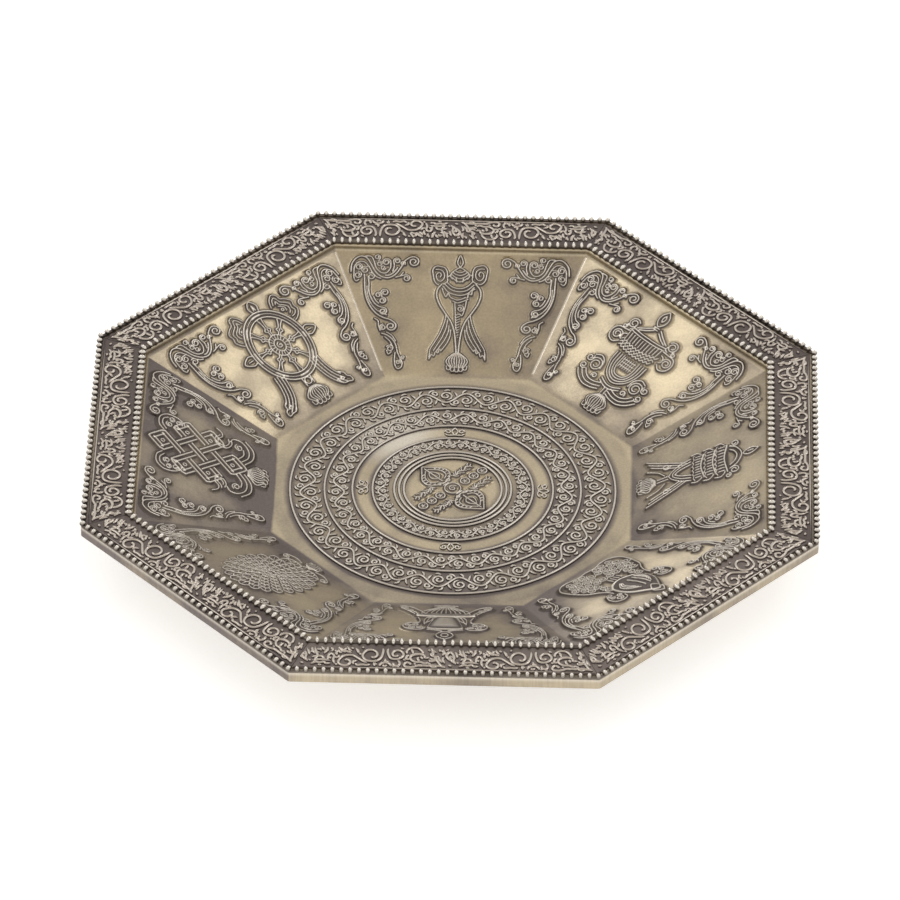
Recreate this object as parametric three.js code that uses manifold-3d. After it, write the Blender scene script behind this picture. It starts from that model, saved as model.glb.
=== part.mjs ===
// Fire offering dish: an eight-sided shallow brass dish with eight sloped walls, a flat rim and a
// turned-down edge. Chased border strips, beaded wires, eight auspicious symbols, corner sprays and
// floor rings are applied on the pan. Millimetres, +Z up, origin under the middle of the flat floor.
import * as THREE from 'three';
import { mergeVertices } from 'three/addons/utils/BufferGeometryUtils.js';
import Module from 'manifold-3d';

const wasm = await Module();
wasm.setup();

// Pan, measured across the flats of the octagon
const SIDES = 8;
const RIM_ACROSS = 241.2;
const FLOOR_ACROSS = 119.8;
const RIM_WIDTH = 16.6;
const WALL_DROP = 19.5;
const STEP_DROP = 2;
const SKIRT_DROP = 3.9;
const SHEET = 1.6;
const FLOOR_SHEET = 2;

// Beaded wires that lie on the rim
const WIRE_WIDTH = 2;
const WIRE_HEIGHT = 2;
const WIRE_CROWN = 0.9;
const OUTER_WIRE_OVERHANG = 0.5;
const INNER_WIRE_SETBACK = 0.3;

// Border strips between the two wires
const BORDER_SHEET = 0.5;
const BORDER_RELIEF = 0.4;
const BORDER_MARGIN_IN = 1.8;
const BORDER_MARGIN_OUT = 1.5;
const EDGE_LINE_WIDTH = 0.6;

// Clearances: between neighbours on the rim, and under what is seated on a sloped wall
const FIT_GAP = 0.3;
const SEAT_GAP = 0.3;

// Applied symbols and sprays
const SYMBOL_RELIEF = 1.1;
const SPRAY_RELIEF = 0.8;
const SYMBOL_FOOT = 2;
const SPRAY_TOP_INSET = 4.2;

// The grid they are drawn on: its steps up the wall and across the wall's mean width, and the widths
// and radii of their parts in these steps
const GRID_STEPS_UP = 48;
const GRID_STEPS_ACROSS = 68;
const SPRAY_WIRE_STEPS = 1.7;
const WIRE_STEPS = 1.3;
const RIBBON_STEPS = 3;
const POLE_STEPS = 1.8;
const TASSEL_STEPS = 4;
const STEM_TOP_STEPS = 10.6;
const TAPER_SHARE = 0.85;

// Half of a vajra head: shares of its radius across, and of its length along
const HEAD_OUTLINE = [[0, -0.12], [1, 0.24], [0.8, 0.64], [0, 1]];

// Rings and ornament on the floor, the rings as shares of its half width
const RING_SHARES = [0.905, 0.713, 0.558, 0.446];
const RING_WIDTH = 1.2;
const RING_HEIGHT = 0.8;
const RING_STEPS = 36;
const FRAME_RADIUS = 17.9;
const FRAME_RIDGES = 3;
const FRAME_RIDGE_PITCH = 1.5;
const VINE_HEIGHT = 0.6;
const VINE_WIDTH = 1.3;
const VINE_PITCH = 15;
const VINE_STEPS_PER_WAVE = 5;
const BUD_RADIUS = 1.3;
const BUD_SPREAD = 1.9;
const VAJRA_HALF_LENGTH = 13.2;
const VAJRA_HEAD_RADIUS = 4.2;
const VAJRA_RING_RADIUS = 3;
const VAJRA_SHAFT_SHARE = 0.7;
const VAJRA_HEIGHT = 0.9;
const ROUNDEL_RADIUS = 1.5;
const ROUNDELS = 3;
const ROUNDEL_CLEARANCE = 1.6;
const TWIG_OFFSET = 4.6;
const TWIG_SWING = 0.6;
const TWIG_BENDS = 6;
const TWIG_CLEARANCE = 0.7;

const TURN = (2 * Math.PI) / SIDES;
const FLAT_TO_CORNER = 1 / Math.cos(TURN / 2);
const HALF_SIDE = Math.tan(TURN / 2);

const skirtFace = RIM_ACROSS / 2;
const stepFace = skirtFace - RIM_WIDTH;
const floorEdge = FLOOR_ACROSS / 2;
const floorTop = FLOOR_SHEET;
const wallTop = floorTop + WALL_DROP;
const rimTop = wallTop + STEP_DROP;
const wallSlope = Math.atan2(WALL_DROP, stepFace - floorEdge);
const wallLength = Math.hypot(WALL_DROP, stepFace - floorEdge);
const gridUp = wallLength / GRID_STEPS_UP;
const gridAcross = ((floorEdge + stepFace) * HALF_SIDE) / GRID_STEPS_ACROSS;
const ringRadii = RING_SHARES.map((share) => share * floorEdge);
const frameOuter = FRAME_RADIUS + (FRAME_RIDGES * FRAME_RIDGE_PITCH) / 2;
const frameInner = FRAME_RADIUS - (FRAME_RIDGES * FRAME_RIDGE_PITCH) / 2;
const outerWireCentre = skirtFace + OUTER_WIRE_OVERHANG - WIRE_WIDTH / 2;
const innerWireCentre = stepFace + INNER_WIRE_SETBACK + WIRE_WIDTH / 2;

const metal = (color, roughness) => new THREE.MeshStandardMaterial({ color, roughness, metalness: 1 });
const paleBrass = () => metal(0xc9b98f, 0.36);
const darkBrass = () => metal(0x7d7468, 0.48);
const wireBrass = () => metal(0xb3a994, 0.3);
const reliefBrass = () => metal(0xa39a8a, 0.34);

// A profile of radius and height, turned about the vertical axis
function turned(profile, steps, start = 0) {
  const points = profile.map(([radius, height]) => new THREE.Vector2(radius, height));
  return new THREE.LatheGeometry(points, steps, start).rotateX(Math.PI / 2);
}

// A profile given on the flats, carried round the eight sides
function octagonal(profile) {
  const corners = profile.map(([flat, height]) => [flat * FLAT_TO_CORNER, height]);
  return turned(corners, SIDES, TURN / 2);
}

const closed = (profile) => [...profile, profile[0]];

function named(name, geometry, material) {
  const mesh = new THREE.Mesh(geometry, material);
  mesh.name = name;
  return mesh;
}

// One closed solid from overlapping flat outlines, all raised to the same height and scaled across
function relief(shapes, height, across = 1, up = 1) {
  const solids = shapes.map((shape) => {
    const flat = new THREE.ExtrudeGeometry(shape, { depth: height, bevelEnabled: false, curveSegments: 1 });
    flat.scale(across, up, 1);
    flat.deleteAttribute('normal');
    flat.deleteAttribute('uv');
    const shell = mergeVertices(flat);
    return new wasm.Manifold(new wasm.Mesh({
      numProp: 3,
      vertProperties: shell.attributes.position.array,
      triVerts: new Uint32Array(shell.index.array),
    }));
  });
  const joined = solids.reduce((whole, next) => whole.add(next)).getMesh();
  const geometry = new THREE.BufferGeometry();
  geometry.setAttribute('position', new THREE.BufferAttribute(joined.vertProperties, 3));
  geometry.setIndex(new THREE.BufferAttribute(joined.triVerts, 1));
  geometry.computeVertexNormals();
  return geometry;
}

const outline = (points) => new THREE.Shape(points.map(([x, y]) => new THREE.Vector2(x, y)));

// A closed outline that runs smoothly through its points
function smooth(points, steps) {
  const loop = new THREE.CatmullRomCurve3(points.map(([x, y]) => new THREE.Vector3(x, y, 0)), true);
  return outline(loop.getPoints(steps).slice(0, steps).map((point) => [point.x, point.y]));
}

function oval(x, y, radiusX, radiusY, steps = 10) {
  const round = Array.from({ length: steps }, (_, i) => {
    const angle = (2 * Math.PI * i) / steps;
    return [x + radiusX * Math.cos(angle), y + radiusY * Math.sin(angle)];
  });
  return outline(round);
}

const disc = (x, y, radius, steps = 7) => oval(x, y, radius, radius, steps);

function hoop(x, y, radiusX, radiusY, width, steps) {
  const shape = oval(x, y, radiusX, radiusY, steps);
  shape.holes.push(oval(x, y, radiusX - width, radiusY - width, steps));
  return shape;
}

// A flat band of the given width along a smooth path, narrowing to its end
function ribbon(points, width, steps, endShare = 1) {
  const path = new THREE.SplineCurve(points.map(([x, y]) => new THREE.Vector2(x, y)));
  const left = [];
  const right = [];
  for (let i = 0; i <= steps; i += 1) {
    const share = i / steps;
    const point = path.getPoint(share);
    const along = path.getTangent(share);
    const half = (width / 2) * (1 + (endShare - 1) * share);
    left.push([point.x - along.y * half, point.y + along.x * half]);
    right.unshift([point.x + along.y * half, point.y - along.x * half]);
  }
  return outline([...left, ...right]);
}

// The same outlines on the other side of the middle line
function mirrored(shapes) {
  return shapes.map((shape) => outline(shape.getPoints(1).map((point) => [-point.x, point.y]).reverse()));
}

const bothSides = (shapes) => [...shapes, ...mirrored(shapes)];

// Pan: floor, eight sloped walls, step, flat rim and turned-down edge in one sheet
function pan() {
  const underFoot = floorEdge + SHEET * Math.sin(wallSlope);
  const underFootHeight = floorTop - SHEET * Math.cos(wallSlope);
  const stepBack = stepFace + SHEET;
  const underStepHeight = underFootHeight + (stepBack - underFoot) * Math.tan(wallSlope);
  const restEdge = underFoot - underFootHeight / Math.tan(wallSlope);
  const rimUnder = rimTop - SHEET;
  return named('dish_pan', octagonal([
    [0, 0],
    [restEdge, 0],
    [stepBack, underStepHeight],
    [stepBack, rimUnder],
    [skirtFace - SHEET, rimUnder],
    [skirtFace - SHEET, rimTop - SKIRT_DROP],
    [skirtFace, rimTop - SKIRT_DROP],
    [skirtFace, rimTop],
    [stepFace, rimTop],
    [stepFace, wallTop],
    [floorEdge, floorTop],
    [0, floorTop],
  ]), paleBrass());
}

// Wire round the rim, flat below and crowned above, where its beads stand
function beadWire(name, centre) {
  const half = WIRE_WIDTH / 2;
  const shoulder = rimTop + WIRE_HEIGHT - WIRE_CROWN;
  return named(name, octagonal(closed([
    [centre - half, rimTop],
    [centre + half, rimTop],
    [centre + half, shoulder],
    [centre + half / 2, rimTop + WIRE_HEIGHT],
    [centre - half / 2, rimTop + WIRE_HEIGHT],
    [centre - half, shoulder],
  ])), wireBrass());
}

// Border strip of one side, mitred at both ends, with a raised field and a raised edge line
function borderStrip(name) {
  const inner = innerWireCentre + WIRE_WIDTH / 2 + FIT_GAP;
  const outer = outerWireCentre - WIRE_WIDTH / 2 - FIT_GAP;
  const ground = rimTop + BORDER_SHEET;
  const crest = ground + BORDER_RELIEF;
  const section = [
    [inner, rimTop],
    [outer, rimTop],
    [outer, crest],
    [outer - EDGE_LINE_WIDTH, crest],
    [outer - EDGE_LINE_WIDTH, ground],
    [outer - BORDER_MARGIN_OUT, ground],
    [outer - BORDER_MARGIN_OUT, crest],
    [inner + BORDER_MARGIN_IN, crest],
    [inner + BORDER_MARGIN_IN, ground],
    [inner, ground],
  ];
  const mitreEnd = (flat) => flat * HALF_SIDE - FIT_GAP / 2;
  const right = section.map(([flat, height]) => [mitreEnd(flat), flat, height]);
  const left = section.map(([flat, height]) => [-mitreEnd(flat), flat, height]);
  const caps = THREE.ShapeUtils.triangulateShape(section.map(([x, y]) => new THREE.Vector2(x, y)), []);
  const count = section.length;
  const faces = [];
  section.forEach((_, i) => {
    const next = (i + 1) % count;
    faces.push(i, next, count + i, next, count + next, count + i);
  });
  caps.forEach(([a, b, c]) => {
    faces.push(a, c, b, count + a, count + b, count + c);
  });
  const geometry = new THREE.BufferGeometry();
  geometry.setAttribute('position', new THREE.Float32BufferAttribute([...left, ...right].flat(), 3));
  geometry.setIndex(faces);
  return named(name, geometry, darkBrass());
}

// Corner spray on one side of a wall: an S-scroll along the rim and a vine down the wall's edge.
// Its points are grid steps in from the wall's slanting edge, and up the wall.
function spray() {
  const top = GRID_STEPS_UP - SPRAY_TOP_INSET / gridUp;
  const scroll = [[23.6, top - 3.4], [21.4, top - 0.6], [17.6, top - 2.6], [13.4, top - 6.6],
    [8.4, top - 4.4], [5.4, top - 0.6], [3, top - 3.6], [3.8, top - 7.4]];
  const vine = [[4.2, top - 6.2], [4.8, 31.6], [5.2, 25.9], [9, 21.4], [9.4, 17]];
  const tail = [[7.4, 18.4], [6.4, 14.6], [8.6, 11.4], [7.4, 4.6]];
  const curls = [[21.8, top - 4, 2.4], [14, top - 3.4, 3], [6.8, top - 4.6, 2.9], [9, 29, 3.2],
    [7.6, 17.8, 2.2], [6.6, 9.6, 1.7], [7.4, 4.4, 1.9]];
  const wallEdge = (y) => ((floorEdge + y * gridUp * Math.cos(wallSlope)) * HALF_SIDE) / gridAcross;
  const inFromEdge = ([inset, y]) => [wallEdge(y) - inset, y];
  return [
    ribbon(scroll.map(inFromEdge), SPRAY_WIRE_STEPS, 9),
    ribbon(vine.map(inFromEdge), SPRAY_WIRE_STEPS, 5),
    ribbon(tail.map(inFromEdge), SPRAY_WIRE_STEPS, 3, TAPER_SHARE),
    ...curls.map(([inset, y, radius]) => disc(...inFromEdge([inset, y]), radius, 6)),
  ];
}

// Tassel bulb at a symbol's foot, on a short stem
const tassel = () => [
  disc(0, TASSEL_STEPS, TASSEL_STEPS, 12),
  ribbon([[0, TASSEL_STEPS], [0, STEM_TOP_STEPS]], WIRE_STEPS, 1),
];

// The eight symbols, in grid steps. Heights start at the tassel's foot, and the top points to the rim.
function parasol() {
  const dome = [[-3.6, 35], [0, 40], [3.6, 35], [6.6, 35.6], [3, 28], [0, 23.6], [-3, 28], [-6.6, 35.6]];
  const finial = [[-1.2, 38], [0, 44.4], [1.2, 38]];
  const heartSide = [[6.6, 34], [8.2, 27.6], [4.6, 22], [1, 8]];
  const trailingRibbon = [[3, 21], [5.2, 13.6], [8.6, 7.6], [9.4, 5]];
  const bow = disc(6.6, 36.4, 3);
  return [
    ...bothSides([
      bow,
      ribbon(heartSide, WIRE_STEPS, 6),
      ribbon(trailingRibbon, RIBBON_STEPS, 4, TAPER_SHARE),
    ]),
    ...tassel(),
    ribbon([[0, 2 * TASSEL_STEPS], [0, 26]], POLE_STEPS, 1),
    outline(finial),
    smooth(dome, 16),
  ];
}

function canopyVase() {
  const bail = [[0, 38], [6.6, 33.4]];
  const lowerCurl = [[0, 11.6], [4.6, 9.4], [8.6, 11.4], [10.2, 15]];
  const bows = [[8.6, 34.4, 2.2], [10.8, 27.8, 2.9], [10.2, 15, 2.8]];
  const jewel = [[0, 36.6], [1.9, 40], [0, 44.6], [-1.9, 40]];
  const bowl = [[-7.4, 34], [7.4, 34], [9.4, 27.4], [5.2, 24.6], [0, 23.2], [-5.2, 24.6], [-9.4, 27.4]];
  const barrel = [[-6.6, 24.6], [6.6, 24.6], [5.8, 15.6], [0, 11], [-5.8, 15.6]];
  const half = [
    ribbon(bail, WIRE_STEPS, 1),
    ribbon(lowerCurl, RIBBON_STEPS, 4),
    ...bows.map(([x, y, radius]) => disc(x, y, radius)),
  ];
  return [...bothSides(half), ...tassel(), smooth(jewel, 8), outline(bowl), smooth(barrel, 12)];
}

function banner() {
  const tierFeet = [28.6, 24.4, 20.2];
  const tierHeight = 5;
  const tierHalf = 7.4;
  const tierFlare = 1.2;
  const arch = [[-7, 32], [-4.6, 36], [0, 38], [4.6, 36], [7, 32]];
  const finial = [[0, 36.6], [1.5, 39.6], [0, 44], [-1.5, 39.6]];
  const apron = [[-5.4, 21.6], [5.4, 21.6], [3, 12], [0, 8], [-3, 12]];
  const outerStreamer = [[5, 21.4], [7.4, 13], [11, 6.6]];
  const innerStreamer = [[2.6, 20], [4.6, 10.6], [7.4, 3.4]];
  const tiers = tierFeet.map((y) => outline([
    [-tierHalf, y],
    [tierHalf, y],
    [tierHalf - tierFlare, y + tierHeight],
    [tierFlare - tierHalf, y + tierHeight],
  ]));
  const half = [
    disc(7.4, 35, 1.9),
    ribbon(outerStreamer, RIBBON_STEPS, 3, TAPER_SHARE),
    ribbon(innerStreamer, RIBBON_STEPS, 3, TAPER_SHARE),
  ];
  return [...bothSides(half), ...tassel(), ...tiers, smooth(arch, 10), smooth(finial, 8), outline(apron)];
}

function conch() {
  const halfOutline = [[0, 42], [2.4, 37], [5.6, 33.4], [9.8, 33.4], [11, 29.6], [9.4, 26.4], [9.4, 20.6],
    [12.6, 14], [13.2, 6], [9.6, 1.4], [0, 2.4]];
  const otherHalf = halfOutline.slice(1, -1).map(([x, y]) => [-x, y]).reverse();
  return [smooth([...halfOutline, ...otherHalf], 44)];
}

function treasureVase() {
  const jewel = [[0, 32.6], [2.4, 36], [0, 39.6], [-2.4, 36]];
  const halfBody = [[1.6, 33.4], [5.4, 28], [5.2, 21], [9.2, 15], [9.6, 11.6], [5, 5.4]];
  const foot = [0, 1.6];
  const otherHalf = halfBody.map(([x, y]) => [-x, y]).reverse();
  const sideCurl = [[5, 15.6], [8.6, 21], [9.4, 25.4]];
  const wing = [[7.6, 13.6], [10.4, 8.6], [14.6, 3]];
  const half = [
    disc(9.4, 25.4, 2.9),
    ribbon(sideCurl, RIBBON_STEPS, 3),
    ribbon(wing, RIBBON_STEPS, 4, TAPER_SHARE),
  ];
  return [...bothSides(half), smooth(jewel, 8), smooth([...halfBody, foot, ...otherHalf], 26)];
}

function lotus() {
  const petals = 18;
  const middle = 23.4;
  const reachX = 12;
  const reachY = 17.6;
  const tipShare = 1.06;
  const hollowShare = 0.9;
  const tips = Array.from({ length: petals * 2 }, (_, i) => {
    const angle = (Math.PI * i) / petals;
    const reach = i % 2 === 0 ? tipShare : hollowShare;
    return [reachX * reach * Math.cos(angle), middle + reachY * reach * Math.sin(angle)];
  });
  const bulb = 2.4;
  return [outline(tips), disc(0, bulb, bulb), ribbon([[0, bulb], [0, middle - reachY / 2]], WIRE_STEPS, 1)];
}

// Endless knot: three slanting loops of straight bars that cross each other
function endlessKnot() {
  const reachX = 17.6;
  const reachY = 25;
  const middle = 26;
  const bar = 0.2;
  const narrow = 0.32;
  const square = 0.76;
  const long = 1.08;
  const at = (u, v) => [((u + v) * reachX) / 2, middle + ((v - u) * reachY) / 2];
  const slanted = (u, v) => outline([at(-u, -v), at(u, -v), at(u, v), at(-u, v)]);
  const loops = [[square, square], [narrow, long], [long, narrow]].map(([u, v]) => {
    const loop = slanted(u, v);
    loop.holes.push(slanted(u - bar, v - bar));
    return loop;
  });
  const upperBow = [10.2, 35];
  const lowerRibbon = [[0, 10], [6, 7.4], [11, 9.4], [12, 15]];
  const half = [
    disc(...upperBow, 3.4),
    ribbon([[3, 27], upperBow], RIBBON_STEPS, 1),
    ribbon(lowerRibbon, RIBBON_STEPS, 5),
  ];
  return [...bothSides(half), ...loops, ...tassel()];
}

function wheel() {
  const middle = 26;
  const radiusX = 11.8;
  const radiusY = 14.2;
  const felloe = 3;
  const hub = [3.6, 4.5];
  const stud = 1.5;
  const studReach = 5;
  const spokes = Array.from({ length: SIDES / 2 }, (_, i) => {
    const across = (radiusX - felloe / 2) * Math.cos(TURN * i);
    const up = (radiusY - felloe / 2) * Math.sin(TURN * i);
    return ribbon([[-across, middle - up], [across, middle + up]], WIRE_STEPS, 1);
  });
  const rightEdge = radiusX - 1;
  const topEdge = middle + radiusY - 1;
  const sideStud = [[rightEdge, middle - stud], [rightEdge, middle + stud], [rightEdge + studReach, middle]];
  const topStud = [[-stud, topEdge], [stud, topEdge], [0, topEdge + studReach]];
  const trailingRibbon = [[8, 15], [9.6, 9], [13.4, 3.4]];
  const half = [
    disc(9.6, 37.4, 3.4),
    outline(sideStud),
    ribbon(trailingRibbon, RIBBON_STEPS, 4, TAPER_SHARE),
  ];
  return [
    hoop(0, middle, radiusX, radiusY, felloe, 20),
    oval(0, middle, ...hub, 10),
    ...spokes,
    ...bothSides(half),
    outline(topStud),
    ribbon([[0, TASSEL_STEPS], [0, middle - radiusY + 1]], WIRE_STEPS, 1),
    disc(0, TASSEL_STEPS, TASSEL_STEPS, 12),
  ];
}

// One side of the octagon: border strip on the rim, and a symbol between two sprays on the wall
function side(direction, symbolName, symbol) {
  const group = new THREE.Group();
  group.add(borderStrip(`border_strip_${direction}`));

  const wall = new THREE.Group();
  wall.position.set(0, floorEdge, floorTop);
  wall.rotation.x = wallSlope;
  const applied = named(symbolName, relief(symbol(), SYMBOL_RELIEF, gridAcross, gridUp), reliefBrass());
  applied.position.set(0, SYMBOL_FOOT, SEAT_GAP);
  wall.add(applied);
  [['right', spray()], ['left', mirrored(spray())]].forEach(([hand, shapes]) => {
    const raised = relief(shapes, SPRAY_RELIEF, gridAcross, gridUp);
    const corner = named(`spray_${direction}_${hand}`, raised, reliefBrass());
    corner.position.z = SEAT_GAP;
    wall.add(corner);
  });
  group.add(wall);
  return group;
}

// Half-round ring soldered on the floor
function floorRing(name, radius) {
  const half = RING_WIDTH / 2;
  return named(name, turned(closed([
    [radius - half, floorTop],
    [radius + half, floorTop],
    [radius + half / 2, floorTop + RING_HEIGHT],
    [radius - half / 2, floorTop + RING_HEIGHT],
  ]), RING_STEPS), wireBrass());
}

// Frame of the middle: ridges side by side on one ring
function medallionFrame() {
  const ridges = Array.from({ length: FRAME_RIDGES * 2 - 1 }, (_, i) => {
    const radius = frameOuter - ((i + 1) * FRAME_RIDGE_PITCH) / 2;
    return [radius, floorTop + (i % 2 === 0 ? RING_HEIGHT : RING_HEIGHT / 2)];
  });
  return named('medallion_frame', turned(closed([
    [frameInner, floorTop],
    [frameOuter, floorTop],
    ...ridges,
  ]), RING_STEPS), wireBrass());
}

// Running vine between two rings: one band that swings from side to side
function vineBand(name, ringOutside, ringInside) {
  const middle = (ringOutside + ringInside) / 2;
  const swing = (ringOutside - ringInside) / 2 - RING_WIDTH / 2 - VINE_WIDTH;
  const waves = Math.round((2 * Math.PI * middle) / VINE_PITCH);
  const steps = waves * VINE_STEPS_PER_WAVE;
  const edge = (offset) => outline(Array.from({ length: steps }, (_, i) => {
    const angle = (2 * Math.PI * i) / steps;
    const radius = middle + offset + swing * Math.sin(waves * angle);
    return [radius * Math.cos(angle), radius * Math.sin(angle)];
  }));
  const band = edge(VINE_WIDTH / 2);
  band.holes.push(edge(-VINE_WIDTH / 2));
  const mesh = named(name, relief([band], VINE_HEIGHT), reliefBrass());
  mesh.position.z = floorTop;
  return mesh;
}

// Trefoil bud that stands alone in the bare ring
function bud(name, angle) {
  const leaves = [[0, BUD_SPREAD / 2], [-BUD_SPREAD, 0], [BUD_SPREAD, 0]];
  const shapes = leaves.map(([x, y]) => disc(x, y, BUD_RADIUS));
  const mesh = named(name, relief(shapes, VINE_HEIGHT), reliefBrass());
  const radius = (ringRadii[2] + ringRadii[3]) / 2;
  mesh.position.set(radius * Math.sin(angle), radius * Math.cos(angle), floorTop);
  mesh.rotation.z = -angle;
  return mesh;
}

// Vajra: two pronged heads on one shaft, with a round boss in the middle
function vajra() {
  const headLength = 2 * VAJRA_HEAD_RADIUS;
  const neck = VAJRA_HALF_LENGTH - headLength;
  const shaft = VAJRA_HEAD_RADIUS * VAJRA_SHAFT_SHARE;
  const neckEnd = neck - headLength * HEAD_OUTLINE[0][1];
  const halfHead = HEAD_OUTLINE.map(([wide, high]) => [VAJRA_HEAD_RADIUS * wide, neck + headLength * high]);
  const otherHalf = halfHead.slice(1, -1).map(([x, y]) => [-x, y]).reverse();
  const head = smooth([...halfHead, ...otherHalf], 18);
  const opposite = outline(head.getPoints(1).map((point) => [-point.x, -point.y]));
  const mesh = named('vajra', relief([
    head,
    opposite,
    ribbon([[0, -neckEnd], [0, neckEnd]], shaft, 1),
    disc(0, 0, VAJRA_RING_RADIUS, 14),
  ], VAJRA_HEIGHT), reliefBrass());
  mesh.position.z = floorTop;
  mesh.rotation.z = TURN;
  return mesh;
}

// Three roundels and two wavy twigs on each side of the vajra, spread between its boss and the frame
function medallionSide(sign, word) {
  const group = new THREE.Group();
  const first = VAJRA_RING_RADIUS + FIT_GAP + ROUNDEL_RADIUS + FIT_GAP;
  const last = frameInner - ROUNDEL_CLEARANCE - ROUNDEL_RADIUS;
  const pitch = (last - first) / (ROUNDELS - 1);
  for (let i = 0; i < ROUNDELS; i += 1) {
    const roundel = named(`roundel_${word}_${i + 1}`, relief([disc(0, 0, ROUNDEL_RADIUS, 12)], VINE_HEIGHT),
      reliefBrass());
    roundel.position.set(sign * (first + i * pitch), 0, floorTop);
    group.add(roundel);
  }
  const start = first + pitch / 2;
  const twigOutside = TWIG_OFFSET + TWIG_SWING + VINE_WIDTH / 2;
  const length = Math.sqrt((frameInner - TWIG_CLEARANCE) ** 2 - twigOutside ** 2) - start;
  [1, -1].forEach((flank, i) => {
    const wave = Array.from({ length: TWIG_BENDS + 1 }, (_, bend) => {
      const x = sign * (start + (length * bend) / TWIG_BENDS);
      return [x, flank * TWIG_OFFSET + (bend % 2 === 0 ? TWIG_SWING : -TWIG_SWING)];
    });
    const shapes = [ribbon(wave, VINE_WIDTH, 2 * TWIG_BENDS)];
    const twig = named(`twig_${word}_${i + 1}`, relief(shapes, VINE_HEIGHT), reliefBrass());
    twig.position.z = floorTop;
    group.add(twig);
  });
  group.rotation.z = TURN;
  return group;
}

const dish = new THREE.Group();
dish.add(pan());
dish.add(beadWire('outer_bead_wire', outerWireCentre));
dish.add(beadWire('inner_bead_wire', innerWireCentre));

const SIDE_LIST = [
  ['n', 'symbol_parasol', parasol],
  ['ne', 'symbol_canopy_vase', canopyVase],
  ['e', 'symbol_victory_banner', banner],
  ['se', 'symbol_conch', conch],
  ['s', 'symbol_treasure_vase', treasureVase],
  ['sw', 'symbol_lotus', lotus],
  ['w', 'symbol_endless_knot', endlessKnot],
  ['nw', 'symbol_wheel', wheel],
];
SIDE_LIST.forEach(([direction, symbolName, symbol], i) => {
  const group = side(direction, symbolName, symbol);
  group.rotation.z = -TURN * i;
  dish.add(group);
});

ringRadii.forEach((radius, i) => dish.add(floorRing(`floor_ring_${i + 1}`, radius)));
dish.add(medallionFrame());
dish.add(vineBand('vine_band_outer', ringRadii[0], ringRadii[1]));
dish.add(vineBand('vine_band_middle', ringRadii[1], ringRadii[2]));
dish.add(vineBand('vine_band_inner', ringRadii[3], frameOuter));
['n', 'e', 's', 'w'].forEach((direction, i) => dish.add(bud(`bud_${direction}`, (Math.PI / 2) * i)));
dish.add(vajra());
dish.add(medallionSide(1, 'right'));
dish.add(medallionSide(-1, 'left'));

export default dish;
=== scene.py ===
"""Fire offering dish: an eight-sided brass dish with a chased rim, eight symbols and a ringed floor."""
import functools
import math

import bpy
import numpy as np
from mathutils import Matrix, Vector


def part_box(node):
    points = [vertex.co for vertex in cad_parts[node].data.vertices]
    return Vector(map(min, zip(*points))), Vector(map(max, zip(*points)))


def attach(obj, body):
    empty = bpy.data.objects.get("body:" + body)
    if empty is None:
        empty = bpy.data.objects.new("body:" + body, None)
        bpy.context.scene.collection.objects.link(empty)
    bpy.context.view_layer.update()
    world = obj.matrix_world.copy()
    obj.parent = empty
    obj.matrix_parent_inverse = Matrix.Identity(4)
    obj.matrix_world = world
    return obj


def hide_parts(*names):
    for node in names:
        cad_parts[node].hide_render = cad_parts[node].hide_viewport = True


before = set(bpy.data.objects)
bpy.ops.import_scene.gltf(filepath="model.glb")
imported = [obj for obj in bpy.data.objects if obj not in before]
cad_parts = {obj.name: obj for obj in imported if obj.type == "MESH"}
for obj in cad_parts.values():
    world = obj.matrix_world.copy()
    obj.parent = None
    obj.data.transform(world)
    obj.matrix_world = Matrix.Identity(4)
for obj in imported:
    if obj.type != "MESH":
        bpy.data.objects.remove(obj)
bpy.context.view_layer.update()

# Camera: the photograph's own viewpoint, a long lens from the parasol's opposite side, 39 degrees up.
# It looks at the middle of the dish on the level of the beads, and is turned a little to the left.
SENSOR_MM = 36
LENS_MM = 333.01
LENS_SHIFT = (-0.00375, -0.0145)
CAMERA_DISTANCE = 2.7577
CAMERA_HEIGHT_ANGLE = 0.680457566
CAMERA_ROLL = -0.0126439707
DISH_TURN = -0.0167143054
AIM = Vector((0, 0, 0.0245))
FARTHEST_SEEN = 60


def added(name, data):
    """A new object with this data, in the scene."""
    made = bpy.data.objects.new(name, data)
    bpy.context.scene.collection.objects.link(made)
    return made


camera_data = bpy.data.cameras.new("camera")
camera_data.sensor_width = SENSOR_MM
camera_data.lens = LENS_MM
camera_data.shift_x, camera_data.shift_y = LENS_SHIFT
camera_data.clip_end = FARTHEST_SEEN
camera = added("camera", camera_data)
away = Vector((0, -math.cos(CAMERA_HEIGHT_ANGLE), math.sin(CAMERA_HEIGHT_ANGLE)))
rising = Vector((0, math.sin(CAMERA_HEIGHT_ANGLE), math.cos(CAMERA_HEIGHT_ANGLE)))
across = Vector((1, 0, 0))
tilted_across = across * math.cos(CAMERA_ROLL) - rising * math.sin(CAMERA_ROLL)
tilted_rising = across * math.sin(CAMERA_ROLL) + rising * math.cos(CAMERA_ROLL)
stand = Matrix((tilted_across, tilted_rising, away)).transposed().to_4x4()
turned_back = Matrix.Translation(AIM) @ Matrix.Rotation(-DISH_TURN, 4, "Z")
camera.matrix_world = turned_back @ Matrix.Translation(away * CAMERA_DISTANCE) @ stand
bpy.context.scene.camera = camera
bpy.context.scene.view_settings.view_transform = "Standard"

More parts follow.
